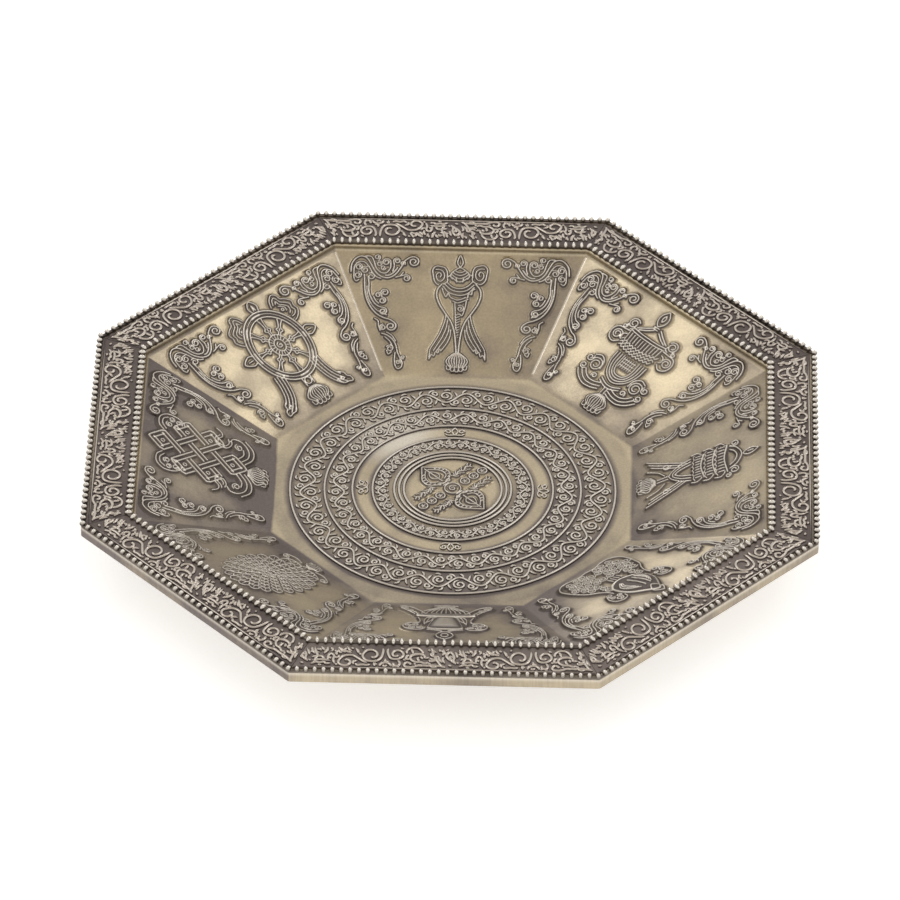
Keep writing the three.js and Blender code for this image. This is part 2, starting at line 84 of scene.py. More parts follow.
# Studio: a large white table, which shows as plain white but keeps the dish's shadow, under a soft room
# that is lighter overhead than at the horizon, with two broad lamps over the far side and one behind it.
TABLE_HALF = 9.0
TABLE_WHITE = 0.86
TABLE_ROUGHNESS = 0.9
TABLE_GLOSS = 0.1
TABLE_GLOW = 0.55
HORIZON = (0.62, 0.61, 0.61, 1)
LOW_SKY = (0.72, 0.69, 0.66, 1)
HIGH_SKY = (0.95, 0.94, 0.93, 1)
OVERHEAD = (0.62, 0.565, 0.50, 1)
LAMPS = {"left_lamp": ((-0.9, 0.65, 1.6), 0.6, 2.0), "right_lamp": ((0.95, 0.7, 1.6), 0.6, 2.2),
         "back_lamp": ((-0.55, 2.2, 0.35), 0.45, 2.4)}


def step(tree, kind, sockets, **settings):
    """Adds a node to a tree, with its settings and with its sockets wired or set, and gives its outputs."""
    made = tree.nodes.new(kind)
    for key, value in settings.items():
        setattr(made, key, value)
    for key, value in sockets.items():
        if isinstance(value, bpy.types.NodeSocket):
            tree.links.new(value, made.inputs[key])
        else:
            made.inputs[key].default_value = value
    return made.outputs


table_mesh = bpy.data.meshes.new("table")
table_mesh.from_pydata([(x * TABLE_HALF, y * TABLE_HALF, 0) for x, y in ((-1, -1), (1, -1), (1, 1), (-1, 1))],
                       [], [(0, 1, 2, 3)])
table = added("table", table_mesh)
white = bpy.data.materials.new("white_table")
white.use_nodes = True
table_mesh.materials.append(white)
tree = white.node_tree
paint = tree.nodes["Principled BSDF"]
paint.inputs["Base Color"].default_value = (TABLE_WHITE, TABLE_WHITE, TABLE_WHITE, 1)
paint.inputs["Roughness"].default_value = TABLE_ROUGHNESS
paint.inputs["Specular IOR Level"].default_value = TABLE_GLOSS
rays = step(tree, "ShaderNodeLightPath", {})
seen = rays["Is Camera Ray"]
for more in ("Is Glossy Ray", "Is Transmission Ray"):
    seen = step(tree, "ShaderNodeMath", {0: seen, 1: rays[more]}, operation="MAXIMUM")[0]
strength = step(tree, "ShaderNodeMath", {0: seen, 1: TABLE_GLOW}, operation="MULTIPLY")[0]
glow = step(tree, "ShaderNodeEmission", {"Strength": strength})[0]
both = step(tree, "ShaderNodeAddShader", {0: paint.outputs[0], 1: glow})[0]
tree.links.new(both, tree.nodes["Material Output"].inputs["Surface"])

room = bpy.data.worlds.new("room")
bpy.context.scene.world = room
room.use_nodes = True
tree = room.node_tree
direction = step(tree, "ShaderNodeTexCoord", {})["Generated"]
height = step(tree, "ShaderNodeSeparateXYZ", {0: direction})["Z"]
sky = tree.nodes.new("ShaderNodeValToRGB")
sky.color_ramp.elements[0].color = HORIZON
sky.color_ramp.elements[1].color = OVERHEAD
for level, colour in ((0.42, LOW_SKY), (0.63, HIGH_SKY)):
    sky.color_ramp.elements.new(level).color = colour
tree.links.new(height, sky.inputs[0])
tree.links.new(sky.outputs[0], tree.nodes["Background"].inputs["Color"])

for name, (place, lamp_size, watts) in LAMPS.items():
    lamp_data = bpy.data.lights.new(name, "AREA")
    lamp_data.size = lamp_size
    lamp_data.energy = watts
    lamp = added(name, lamp_data)
    lamp.location = place
    lamp.rotation_euler = (AIM - Vector(place)).to_track_quat("-Z", "Y").to_euler()

# Pan: one sheet of brass with a flat floor, eight sloped walls, a low step, a flat rim and a turned-down
# edge. It is pressed, brushed, then darkened and wiped, so that a grey film stays in corners and hollows.
MM = 0.001
SIDES = 8
STEP_FACE = 104.0
SKIRT_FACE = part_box("dish_pan")[1].x / MM
SKIRT_FOOT = 19.6
RIM_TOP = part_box("dish_pan")[1].z / MM
FLOOR_EDGE = 59.9
FLOOR_TOP = 2.0
WALL_TOP = 21.5
WALL_SLOPE = math.atan2(WALL_TOP - FLOOR_TOP, STEP_FACE - FLOOR_EDGE)
WALL_LENGTH = math.hypot(WALL_TOP - FLOOR_TOP, STEP_FACE - FLOOR_EDGE)
HALF_SIDE = math.tan(math.pi / SIDES)
SHEET = 1.6
CORNER_STEPS = 4
SIDE_STEPS = 40
# How far the film has stayed on each wall: all over, to its right, towards its foot and round its edges
# The levels also differ wall by wall as painted light and shade, lighter or darker by how each wall is lit
WALL_FILM_AND_SHADE = [(0.24, 0.22, 0.20, -0.7), (-0.06, 0.16, 0.40, 0.8), (0.06, 0.02, 0.60, 1.0), (0.10, 0.28, 0.40, 1.0),
        (0.06, -0.05, 0.50, 1.8), (0.28, 0.30, 0.40, 1.2), (0.46, 0.06, 0.85, 1.0), (-0.16, 0.05, 0.35, 0.9)]
# The same on the low step above each wall, on the turned-down edge below it, and on the underside
# On the step and the turned-down edge these levels also differ side by side as painted light and shade
STEP_FILM_AND_SHADE = [0.0, 0.05, 0.2, 0.4, 0.2, 0.2, 0.1, 0.4]
SKIRT_FILM_AND_SHADE = [0.6, 0.6, 0.6, 0.5, 0.46, 0.85, 0.7, 0.6]
UNDER_FILM = 0.3
# And on the floor by distance from the middle, in mm: dark beside each ring and between the curls
FLOOR_FILM = [(0, 0.04), (14, 0.06), (15.2, 0.5), (20.8, 0.5), (21.4, 0.62), (25.4, 0.62), (26, 0.9),
              (27.4, 0.9), (28.8, 0.08), (31.4, 0.08), (32.6, 0.9), (34.2, 0.9), (35, 0.60), (41.2, 0.60),
              (41.9, 0.9), (43.5, 0.9), (44.6, 0.58), (52.4, 0.60), (53.3, 0.95), (55.1, 0.9), (56.6, 0.24),
              (60.5, 0.2), (62, 0.0)]
NEAR_FLOOR_DARKENING = 0.42
# How bright the painted highlight on the crease to the right of each wall is, and how it fades beside it
CREASE_HIGHLIGHTS = [0.92, 0.25, 0.3, 0.3, 0.3, 0.3, 0.3, 0.88]
CREASE_HIGHLIGHT_FADE = np.array([1.0, 0.9, 0.5])
GROUND_BRASS = (0.62, 0.53, 0.37)
FILM_BRASS = (0.205, 0.176, 0.166)
WORN_BRASS = (0.80, 0.74, 0.64)
BLOTCH_SCALE = 38
STREAK_SCALE = 1400
STREAK_STRETCH = (1, 1, 0.06)
STREAK_DEPTH = 0.12


def turn_of(side):
    """The angle at which a side faces: the far one first, then clockwise."""
    return math.pi / 2 - side * math.tau / SIDES


def from_side(side, along, flat):
    """Where a place lies in the dish, from its distance along a side and its distance to the middle."""
    turn = turn_of(side)
    return flat * math.cos(turn) + along * math.sin(turn), flat * math.sin(turn) - along * math.cos(turn)


def to_side(side, x, y):
    """The distance along a side and the distance to the middle of a place in the dish."""
    turn = turn_of(side)
    return x * math.sin(turn) - y * math.cos(turn), x * math.cos(turn) + y * math.sin(turn)


def wall_place(side, x, y, rise):
    """Points at x along a wall, y up its slope and rise off it, as places in the dish, all in mm."""
    flat = FLOOR_EDGE + y * math.cos(WALL_SLOPE) - rise * math.sin(WALL_SLOPE)
    return np.c_[(*from_side(side, x, flat),
                  FLOOR_TOP + y * math.sin(WALL_SLOPE) + rise * math.cos(WALL_SLOPE))]


def film_and_shade_on_wall(side, x, y):
    """Share of grey film and painted shade on a wall's ground, at x from its middle line and y up its slope,
    in mm.
    """
    overall, rightward, footward, round_edges = WALL_FILM_AND_SHADE[side]
    half = np.maximum((FLOOR_EDGE + y * math.cos(WALL_SLOPE)) * HALF_SIDE, 1)
    edge = np.maximum(half - np.abs(x), 0) * math.cos(math.pi / SIDES)
    film = overall + rightward * x / half + footward * np.exp(-np.maximum(y, 0) / 9)
    wiped = np.exp(-((np.abs(x) - 14.5) / 8) ** 2 - ((y - 26) / 15) ** 2)
    rim_side = np.exp(-np.maximum(WALL_LENGTH - y, 0) / 2.2)
    film += round_edges * (0.18 * (1 - wiped) + 0.16 * np.exp(-edge / 4) + 0.2 * rim_side)
    return np.clip(film, 0, 1)


def brass(name, ground, film, worn, smooth=0.34, dull=0.5):
    """Brass dark where "film" is 1 and bright where "crest" is 1: film and wear, and in places painted light.
    """
    material = bpy.data.materials.new(name)
    material.use_nodes = True
    tree = material.node_tree

    def share(source, low, high, start=0.0, end=1.0):
        return step(tree, "ShaderNodeMapRange", {0: source, 1: low, 2: high, 3: start, 4: end},
                    interpolation_type="SMOOTHSTEP")[0]

    def sums(operation, first, second):
        return step(tree, "ShaderNodeMath", {0: first, 1: second}, operation=operation, use_clamp=True)[0]

    def mixed(factor, first, second, blend="MIX"):
        return step(tree, "ShaderNodeMix", {0: factor, 6: first, 7: second}, data_type="RGBA",
                    blend_type=blend)[2]

    place = step(tree, "ShaderNodeTexCoord", {})["Object"]
    blotch = step(tree, "ShaderNodeTexNoise",
                  {"Vector": place, "Scale": BLOTCH_SCALE, "Detail": 5, "Roughness": 0.6})["Fac"]
    streak_place = step(tree, "ShaderNodeMapping", {"Vector": place, "Scale": STREAK_STRETCH})[0]
    streak = step(tree, "ShaderNodeTexNoise", {"Vector": streak_place, "Scale": STREAK_SCALE,
                                               "Detail": 3})["Fac"]
    kept = step(tree, "ShaderNodeAttribute", {}, attribute_name="film")["Fac"]
    crest = step(tree, "ShaderNodeAttribute", {}, attribute_name="crest")["Fac"]
    flat = step(tree, "ShaderNodeVectorMath", {0: place, 1: (1, 1, 0)}, operation="MULTIPLY")[0]
    from_middle = step(tree, "ShaderNodeVectorMath", {0: flat}, operation="LENGTH")["Value"]
    rings = tree.nodes.new("ShaderNodeValToRGB")
    stops = rings.color_ramp.elements
    stops.remove(stops[-1])
    stops[0].color = (*[FLOOR_FILM[0][1]] * 3, 1)
    for radius, level in FLOOR_FILM[1:]:
        stops.new(radius / 100).color = (level, level, level, 1)
    tree.links.new(sums("MULTIPLY", from_middle, 10.0), rings.inputs[0])
    cloud = share(blotch, 0.35, 0.72, -0.14, 0.34)
    total = sums("ADD", sums("ADD", kept, cloud), rings.outputs[0])
    colour = mixed(total, (*ground, 1), (*film, 1))
    # Bright where crest is set: rubbed wear, and on the pan's creases and one floor patch, painted highlights
    wear_and_highlight = sums("MULTIPLY", share(crest, 0.4, 1.0), share(blotch, 0.25, 0.5, 0.75, 1.0))
    colour = mixed(wear_and_highlight, colour, (*worn, 1))
    colour = mixed(1.0, colour, share(streak, 0.3, 0.7, 0.92, 1.05), "MULTIPLY")
    gloss = sums("MULTIPLY", share(total, 0.0, 1.0, smooth, dull), share(wear_and_highlight, 0.0, 1.0, 1.0, 0.62))
    bump = step(tree, "ShaderNodeBump", {"Strength": STREAK_DEPTH, "Distance": 0.1 * MM, "Height": streak})[0]
    skin = tree.nodes["Principled BSDF"].inputs
    skin["Metallic"].default_value = 1
    for key, source in (("Base Color", colour), ("Roughness", gloss), ("Normal", bump)):
        tree.links.new(source, skin[key])
    return material


def rounded(profile, steps=4):
    """A profile of (flat, height, corner radius) with its corners rounded."""
    points = [profile[0][:2]]
    for (ax, ay, _), (bx, by, radius), (cx, cy, _) in zip(profile, profile[1:], profile[2:]):
        corner = np.array((bx, by))
        to_last = np.array((ax, ay)) - corner
        to_next = np.array((cx, cy)) - corner
        first = corner + to_last / np.linalg.norm(to_last) * radius
        last = corner + to_next / np.linalg.norm(to_next) * radius
        for t in np.linspace(0, 1, steps + 1):
            points.append(tuple((1 - t) ** 2 * first + 2 * t * (1 - t) * corner + t * t * last))
    points.append(profile[-1][:2])
    return points


def ring_at(flat, height, corner):
    """One closed line round the octagon, at a distance from the middle to its flats, with rounded corners."""
    corner = min(corner, flat * 0.3)
    line = []
    for side in range(SIDES):
        half = flat * HALF_SIDE - corner * HALF_SIDE
        line += [(*from_side(side, half * (2 * i / SIDE_STEPS - 1), flat), height)
                 for i in range(SIDE_STEPS + 1)]
        turn = turn_of(side) - math.pi / SIDES
        pivot = (flat - corner) / math.cos(math.pi / SIDES)
        for i in range(1, CORNER_STEPS):
            angle = turn + math.pi / SIDES * (1 - 2 * i / CORNER_STEPS)
            line.append((pivot * math.cos(turn) + corner * math.cos(angle),
                         pivot * math.sin(turn) + corner * math.sin(angle), height))
    return line


def set_levels(mesh, **levels):
    """Gives a mesh its levels of film and crest, point by point or all over."""
    for key, level in levels.items():
        layer = mesh.attributes.get(key) or mesh.attributes.new(key, "FLOAT", "POINT")
        layer.data.foreach_set("value", np.full(len(mesh.vertices), level, np.float32))


pale_brass = brass("pale_brass", GROUND_BRASS, FILM_BRASS, WORN_BRASS)
under_foot = FLOOR_EDGE + SHEET * math.sin(WALL_SLOPE)
under_foot_height = FLOOR_TOP - SHEET * math.cos(WALL_SLOPE)
rest_edge = under_foot - under_foot_height / math.tan(WALL_SLOPE)
step_back = STEP_FACE + SHEET
under_step = under_foot_height + (step_back - under_foot) * math.tan(WALL_SLOPE)
upper = rounded([(0.4, FLOOR_TOP, 0), (FLOOR_EDGE, FLOOR_TOP, 2.2), (STEP_FACE, WALL_TOP, 1.0),
                 (STEP_FACE, RIM_TOP, 0.95), (SKIRT_FACE, RIM_TOP, 0.5), (SKIRT_FACE, SKIRT_FOOT, 0.3),
                 (SKIRT_FACE - SHEET, SKIRT_FOOT, 0.3), (SKIRT_FACE - SHEET, RIM_TOP - SHEET, 0.4),
                 (step_back, RIM_TOP - SHEET, 0.4), (step_back, under_step, 1.2), (rest_edge, 0, 1.5),
                 (0.4, 0, 0)])
profile = []
for (flat, height), (next_flat, next_height) in zip(upper, upper[1:]):
    span = math.hypot(next_flat - flat, next_height - height)
    parts = 1 + (int(span / 2) if span > 6 else 0)
    profile += [(flat + (next_flat - flat) * i / parts, height + (next_height - height) * i / parts)
                for i in range(parts)]
profile.append(upper[-1])
pan_points = np.array([point for flat, height in profile for point in ring_at(flat, height, 1.4)])
loop = len(pan_points) // len(profile)
faces = []
for row in range(len(profile) - 1):
    for i in range(loop):
        a, b = row * loop + i, row * loop + (i + 1) % loop
        faces.append((a, b, b + loop, a + loop))
faces.append(tuple(range(loop))[::-1])
faces.append(tuple(range((len(profile) - 1) * loop, len(profile) * loop)))
pan_mesh = bpy.data.meshes.new("pan")
pan_mesh.from_pydata((pan_points * MM).tolist(), [], faces)
pan_x, pan_y, pan_z = pan_points.T
pan_film_and_shade = np.zeros(len(pan_points))
for side in range(SIDES):
    x, flat = to_side(side, pan_x, pan_y)
    here = (np.abs(x) <= flat * HALF_SIDE + 0.01) & (flat > FLOOR_EDGE - 0.5) & (pan_z > 1)
    up = (flat - FLOOR_EDGE) / math.cos(WALL_SLOPE)
    level = film_and_shade_on_wall(side, x, np.minimum(up, WALL_LENGTH))
    level = np.where(flat > STEP_FACE - 0.6, STEP_FILM_AND_SHADE[side], level)
    pan_film_and_shade[here] = level[here]
    pan_film_and_shade[here & (pan_z > 19) & (flat > 117)] = SKIRT_FILM_AND_SHADE[side]
pan_film_and_shade[pan_z < 1] = UNDER_FILM
# The floor darkens towards the near side, and one patch to the left of its far side has a painted lamp
# reflection
on_floor_top = (np.abs(pan_z - FLOOR_TOP) < 0.3) & (np.hypot(pan_x, pan_y) < 65)
near_side = np.clip((-pan_y[on_floor_top] - 12) / 48, 0, 1)
pan_film_and_shade[on_floor_top] = np.maximum(pan_film_and_shade[on_floor_top], near_side * NEAR_FLOOR_DARKENING)
pan_wear_and_highlight = np.where(on_floor_top, 0.85 * np.exp(-np.hypot(pan_x + 20, pan_y - 28) ** 2 / (2 * 17 ** 2)), 0)
# Painted highlights: the creases between the walls are made bright, most of all beside the far wall
number = np.arange(len(pan_points))
on_slope = ((pan_z > FLOOR_TOP + 0.6) & (pan_z < WALL_TOP - 0.2) & (number < len(pan_points) // 2)
            & (np.hypot(pan_x, pan_y) < STEP_FACE / math.cos(math.pi / SIDES)))
for side, brightness in enumerate(CREASE_HIGHLIGHTS):
    from_turn = np.abs(number % loop - side * (SIDE_STEPS + CORNER_STEPS) - SIDE_STEPS - CORNER_STEPS // 2)
    crease_highlight = (from_turn < len(CREASE_HIGHLIGHT_FADE)) & on_slope
    pan_wear_and_highlight[crease_highlight] = brightness * CREASE_HIGHLIGHT_FADE[from_turn[crease_highlight]]
# The outermost edge of the rim is rubbed bright
pan_flat = np.max([to_side(side, pan_x, pan_y)[1] for side in range(SIDES)], axis=0)
pan_wear_and_highlight[(pan_flat > SKIRT_FACE - 0.45) & (pan_z > RIM_TOP - 0.6)] = 0.7
set_levels(pan_mesh, film=pan_film_and_shade, crest=pan_wear_and_highlight)
pan_mesh.polygons.foreach_set("use_smooth", [True] * len(pan_mesh.polygons))
pan_mesh.materials.append(pale_brass)
pan = added("pan", pan_mesh)
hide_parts("dish_pan")
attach(pan, "root")

# Beaded wires: two rows of brass beads, one round the outside of the rim and one round its inside edge.
# Each bead is an oval that lies across its row, cast on a low foot that stays dark between the beads.
WIRE_GROUND = (0.42, 0.37, 0.31)
WIRE_FILM = (0.10, 0.084, 0.074)
WIRE_WORN = (0.86, 0.82, 0.75)
BEAD_HEIGHT = 2.1
# Distance to the middle, beads a side, a bead's width and length, the foot's width and drop, start of the rub
BEAD_ROWS = {"outer_bead_wire": (119.95, 35, 1.7, 2.2, 1.2, 0.8, 0.7),
             "inner_bead_wire": (105.3, 32, 1.5, 2.9, 1.5, 0.5, 0.3)}


def tree_with(name, **inputs):
    """An empty geometry tree with named inputs, its input sockets, and a function that adds a node to it."""
    tree = bpy.data.node_groups.new(name, "GeometryNodeTree")
    for label, kind in {"Path": "Geometry", **inputs}.items():
        tree.interface.new_socket(label, in_out="INPUT", socket_type="NodeSocket" + kind)
    tree.interface.new_socket("Piece", in_out="OUTPUT", socket_type="NodeSocketGeometry")
    return tree, tree.nodes.new("NodeGroupInput").outputs, functools.partial(step, tree)


def with_levels(add, geometry, crest, film):
    """A tree's geometry with its levels of crest and film stored."""
    for key, level in (("crest", crest), ("film", film)):
        geometry = add("GeometryNodeStoreNamedAttribute",
                       {"Geometry": geometry, "Name": key, "Value": level})[0]
    return geometry


def ended(tree, geometry, finish):
    """Ends a tree with smooth faces, Realize Instances, Set Material and its output."""
    geometry = step(tree, "GeometryNodeSetShadeSmooth", {"Geometry": geometry})[0]
    geometry = step(tree, "GeometryNodeRealizeInstances", {"Geometry": geometry})[0]
    geometry = step(tree, "GeometryNodeSetMaterial", {"Geometry": geometry, "Material": finish})[0]
    tree.links.new(geometry, tree.nodes.new("NodeGroupOutput").inputs[0])


def lift_over(add, seat):
    """A tree's height over the ground that its pieces sit on."""
    height = add("ShaderNodeSeparateXYZ", {0: add("GeometryNodeInputPosition", {})[0]})["Z"]
    return add("ShaderNodeMath", {0: height, 1: seat}, operation="SUBTRACT")[0]


def made_by(tree, name, path_mesh, **values):
    """The plain mesh object that a tree makes from a path."""
    carrier = added(name + "_path", path_mesh)
    modifier = carrier.modifiers.new("tree", "NODES")
    modifier.node_group = tree
    for item in tree.interface.items_tree:
        if item.in_out == "INPUT" and item.name in values:
            modifier[item.identifier] = values[item.name]
    ready = carrier.evaluated_get(bpy.context.evaluated_depsgraph_get())
    mesh = bpy.data.meshes.new_from_object(ready)
    carrier.modifiers.remove(modifier)
    bpy.data.objects.remove(carrier)
    return added(name, mesh)


def metres(value):
    return value * MM


bead_row, given, add = tree_with("bead_row", beads="Int", bead_width="Float", bead_length="Float",
                                 bead_height="Float", seat="Float", foot_width="Float", foot_drop="Float",
                                 rub_start="Float", finish="Material")
row_curve = add("GeometryNodeMeshToCurve", {"Mesh": given["Path"]})[0]
row_points = add("GeometryNodeCurveToPoints", {"Curve": row_curve, "Count": given["beads"]}, mode="COUNT")
facing = add("FunctionNodeAlignRotationToVector", {"Vector": row_points["Tangent"]}, axis="X")[0]
ball = add("GeometryNodeMeshUVSphere", {"Segments": 8, "Rings": 6, "Radius": 0.5})["Mesh"]
bead_size = add("ShaderNodeCombineXYZ", {"X": given["bead_width"], "Y": given["bead_length"],
                                         "Z": given["bead_height"]})[0]
bead = add("GeometryNodeTransform", {"Geometry": ball, "Scale": bead_size})[0]
beads = add("GeometryNodeInstanceOnPoints",
            {"Points": row_points["Points"], "Instance": bead, "Rotation": facing})[0]
beads = add("GeometryNodeRealizeInstances", {"Geometry": beads})[0]
section = add("GeometryNodeCurvePrimitiveCircle", {"Resolution": 8, "Radius": 0.5})["Curve"]
foot_size = add("ShaderNodeCombineXYZ", {"X": given["foot_width"], "Y": given["foot_width"], "Z": 1.0})[0]
section = add("GeometryNodeTransform", {"Geometry": section, "Scale": foot_size})[0]
foot = add("GeometryNodeCurveToMesh", {"Curve": row_curve, "Profile Curve": section})[0]
foot_drop = add("ShaderNodeMath", {0: given["foot_drop"], 1: -1.0}, operation="MULTIPLY")[0]
foot_down = add("ShaderNodeCombineXYZ", {"Z": foot_drop})[0]
foot = add("GeometryNodeTransform", {"Geometry": foot, "Translation": foot_down})[0]
lift = lift_over(add, given["seat"])
rub_end = add("ShaderNodeMath", {0: given["rub_start"], 1: metres(1.1)})[0]
rub = add("ShaderNodeMapRange", {0: lift, 1: given["rub_start"], 2: rub_end, 3: 0.0, 4: 1.0})[0]
grime = add("ShaderNodeMapRange", {0: lift, 1: metres(0.2), 2: rub_end, 3: 1.0, 4: 0.2})[0]
whole = bead_row.nodes.new("GeometryNodeJoinGeometry")
for part, part_rub, part_grime in ((beads, rub, grime), (foot, 0.0, 0.7)):
    bead_row.links.new(with_levels(add, part, part_rub, part_grime), whole.inputs[0])
ended(bead_row, whole.outputs[0], given["finish"])

wire_brass = brass("wire_brass", WIRE_GROUND, WIRE_FILM, WIRE_WORN, 0.3, 0.5)
for name, (flat, per_side, width, length, foot_width, foot_drop, rub_start) in BEAD_ROWS.items():
    line = ring_at(flat, RIM_TOP + 2.0 - BEAD_HEIGHT / 2, 0.8)
    path = bpy.data.meshes.new(name)
    path.from_pydata([[c * MM for c in point] for point in line],
                     [(i, (i + 1) % len(line)) for i in range(len(line))], [])
    row = made_by(bead_row, name + "_beads", path, beads=per_side * SIDES, bead_width=metres(width),
                  bead_length=metres(length), bead_height=metres(BEAD_HEIGHT), seat=metres(RIM_TOP),
                  foot_width=metres(foot_width), foot_drop=metres(foot_drop), rub_start=metres(rub_start),
                  finish=wire_brass)
    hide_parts(name)
    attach(row, "root")

# Border: on each side of the rim a flat dark strip, mitred at both ends, with chased scrollwork between a
# raised line by the outer beads and a plain edge by the inner ones. Its lines are half-round brass ridges.
DIRECTIONS = ["n", "ne", "e", "se", "s", "sw", "w", "nw"]
STRIP_GROUND = (0.34, 0.29, 0.265)
STRIP_DARK = (0.155, 0.130, 0.122)
STRIP_WORN = (0.62, 0.56, 0.49)
STRIP_IN, STRIP_OUT = 106.0, 118.4
STRIP_TOP = RIM_TOP + 0.5
STRIP_ROUND = 0.1
STRIP_FILM = [1.0, 0.95, 0.9, 0.65, 0.6, 0.8, 0.95, 1.0]
# Width of the scrolls and of the line beside the outer beads, and the height at which each is bright
SCROLL_WIDTH, EDGE_WIDTH = 1.12, 0.75
SCROLL_HEIGHT, EDGE_HEIGHT = 0.95, 0.7
SCROLL_BRIGHT, EDGE_BRIGHT = [0.5, 0.62, 0.5, 0.52, 0.5, 0.52, 0.52, 0.5], 0.33
MITRE_GAP = 0.08
SCROLL_GAP = 0.7
OUTER_LINE = 118.0
SCROLL_REPEATS = (-47.75, -0.25)
# One repeat of the scrollwork: pairs of x along the side and distance from the middle, in tenths of a mm
SCROLLWORK = [
    # The tangled leaves on the left
    (-1,1172, 12.5,1165, 22,1148, 29,1134, 32,1118), (24,1168, 40,1171, 51,1164, 62.5,1169),
    (40,1170, 39,1157), (12.5,1139, 29,1137, 46,1143, 54,1136), (21,1118, 37.5,1119, 47,1109, 40,1101),
    (29,1101, 43,1087, 44,1077), (10,1114, 6,1098, 17,1086),
    (54,1148, 65,1154, 79,1148, 96,1148, 110,1137, 112.5,1123, 99,1112, 79,1109, 68,1115, 65,1126, 51,1125),
    (83,1146, 89,1132, 89,1126), (71,1109, 76,1093, 90,1079, 110,1079, 124,1093, 124,1109),
    (104,1109, 107,1093, 112.5,1086), (110,1134, 126,1134, 124,1120, 115,1115),
    (71,1168, 85,1165, 99,1171, 110,1174, 126,1173, 132,1163, 124,1151, 112.5,1156, 114,1163),
    # Two spirals on stems, and the curls over them
    (183,1082, 186,1098, 182,1118, 174,1133, 156,1136, 139,1126, 135,1110, 144,1095, 159,1093, 170,1106,
     167,1120, 156,1121, 152,1114),
    (200,1082, 201,1107, 207,1132, 218,1145, 236,1149, 256,1143, 266,1122, 257,1100, 240,1092, 223,1101,
     219,1118, 228,1130, 240,1127), (180,1148, 192,1149, 192,1134),
    (153,1140, 146,1154, 149,1167, 159,1169, 166,1162, 165,1153), (147,1176, 155,1169), (169,1175, 163,1166),
    (172,1173, 179,1159, 193,1154, 207,1161, 211,1173), (186,1164, 194,1172, 202,1166),
    # The rolling curl and the bar over it
    (240,1164, 252,1168, 266,1166, 282,1169, 289,1159), (266,1172, 268,1160),
    (251,1157, 265,1148, 282,1133, 296,1122, 312.5,1120.5, 329,1127.5, 340,1143, 343,1159, 332,1170.5,
     318,1172, 307,1164, 305.5,1151, 314,1143, 324,1146), (278,1112, 282,1099, 289,1085),
    (276,1097, 286,1096), (301,1109, 316,1103, 329,1097, 340,1084), (322,1109, 324,1094, 316,1085),
    # The flames on the right
    (338,1121, 346,1133, 357,1132), (354,1166, 360,1144, 357,1127, 366,1115, 375,1124, 378,1149),
    (352,1107, 354,1094), (368,1162, 382,1164, 390,1157, 404,1161, 415,1158, 432,1167),
    (415,1159, 418,1145, 410,1126, 415,1110, 421,1082), (387.5,1146, 396,1130, 412,1129, 429,1134),
    (404,1112, 421,1107, 435,1107), (385,1109, 379,1096, 381,1081), (387.5,1101, 396,1082),
    (424,1098, 432,1084), (446,1151, 457,1134, 460,1118, 449,1123),
    (457,1137, 468,1123, 471,1109, 460,1096, 451,1101), (454,1165, 466,1159), (463,1080, 474,1090),
    # Short leaves that fill the gaps
    (2,1152, 9,1132, 4,1120), (46,1160, 56,1149), (74,1134, 76,1126, 82,1122), (50,1094, 56,1082),
    (134,1086, 146,1079), (94,1160, 102,1155), (219,1166, 228,1159, 226,1173), (262,1084, 269,1079),
    (332,1111, 340,1106, 346,1092), (363,1099, 368,1082), (349,1173, 350,1162), (399,1102, 406,1088),
    (437,1123, 439,1109, 444,1092), (433,1153, 438,1143), (369,1142, 371,1129), (396,1173, 410,1170),
    (295,1090, 304,1083), (6,1169, 36,1163, 66,1165, 96,1161), (51,1127, 39,1134, 30,1127, 38,1119),
    (42,1119, 40,1103, 46,1082), (84,1129, 92,1125), (68,1116, 86,1108, 112,1112), (-10,1109, 2,1102, 9,1079),
    (18,1096, 20,1079), (10,1149, 20,1132, 22,1116), (368,1150, 396,1145, 428,1150),
    (375,1080, 383,1102, 390,1116), (399,1081, 391,1100), (431,1082, 426,1104, 418,1118),
    (404,1098, 414,1092), (441,1155, 449,1139, 447,1122, 453,1103, 466,1097, 473,1113, 466,1128, 454,1141),
    (302,1103, 310,1092, 315,1079), (319,1106, 331,1101, 338,1090, 346,1083), (349,1123, 350,1109, 343,1099),
    (272,1120, 275,1108), (359,1086, 366,1106), (129,1142, 136,1134), (282,1146, 296,1154, 294,1166),
]


def mm(*tenths):
    """Points from x,y pairs in tenths of a millimetre."""
    return np.reshape(tenths, (-1, 2)) / 10


def through(points, steps=5, closed=False):
    """A smooth line through points."""
    p = np.asarray(points, float)
    if closed:
        p = np.vstack([p[-1:], p, p[:2]])
    else:
        p = np.vstack([2 * p[:1] - p[1:2], p, 2 * p[-1:] - p[-2:-1]])
    t = np.linspace(0, 1, steps, endpoint=False)[:, None]
    bends = [0.5 * (2 * b + (c - a) * t + (2 * a - 5 * b + 4 * c - d) * t * t
                    + (3 * b - a - 3 * c + d) * t ** 3) for a, b, c, d in zip(p, p[1:], p[2:], p[3:])]
    return np.vstack(bends + [p[-2:-1]])


def drawn(*tenths, steps=5, closed=False):
    """A smooth line through points from x,y pairs in tenths of a millimetre."""
    return through(mm(*tenths), steps, closed)


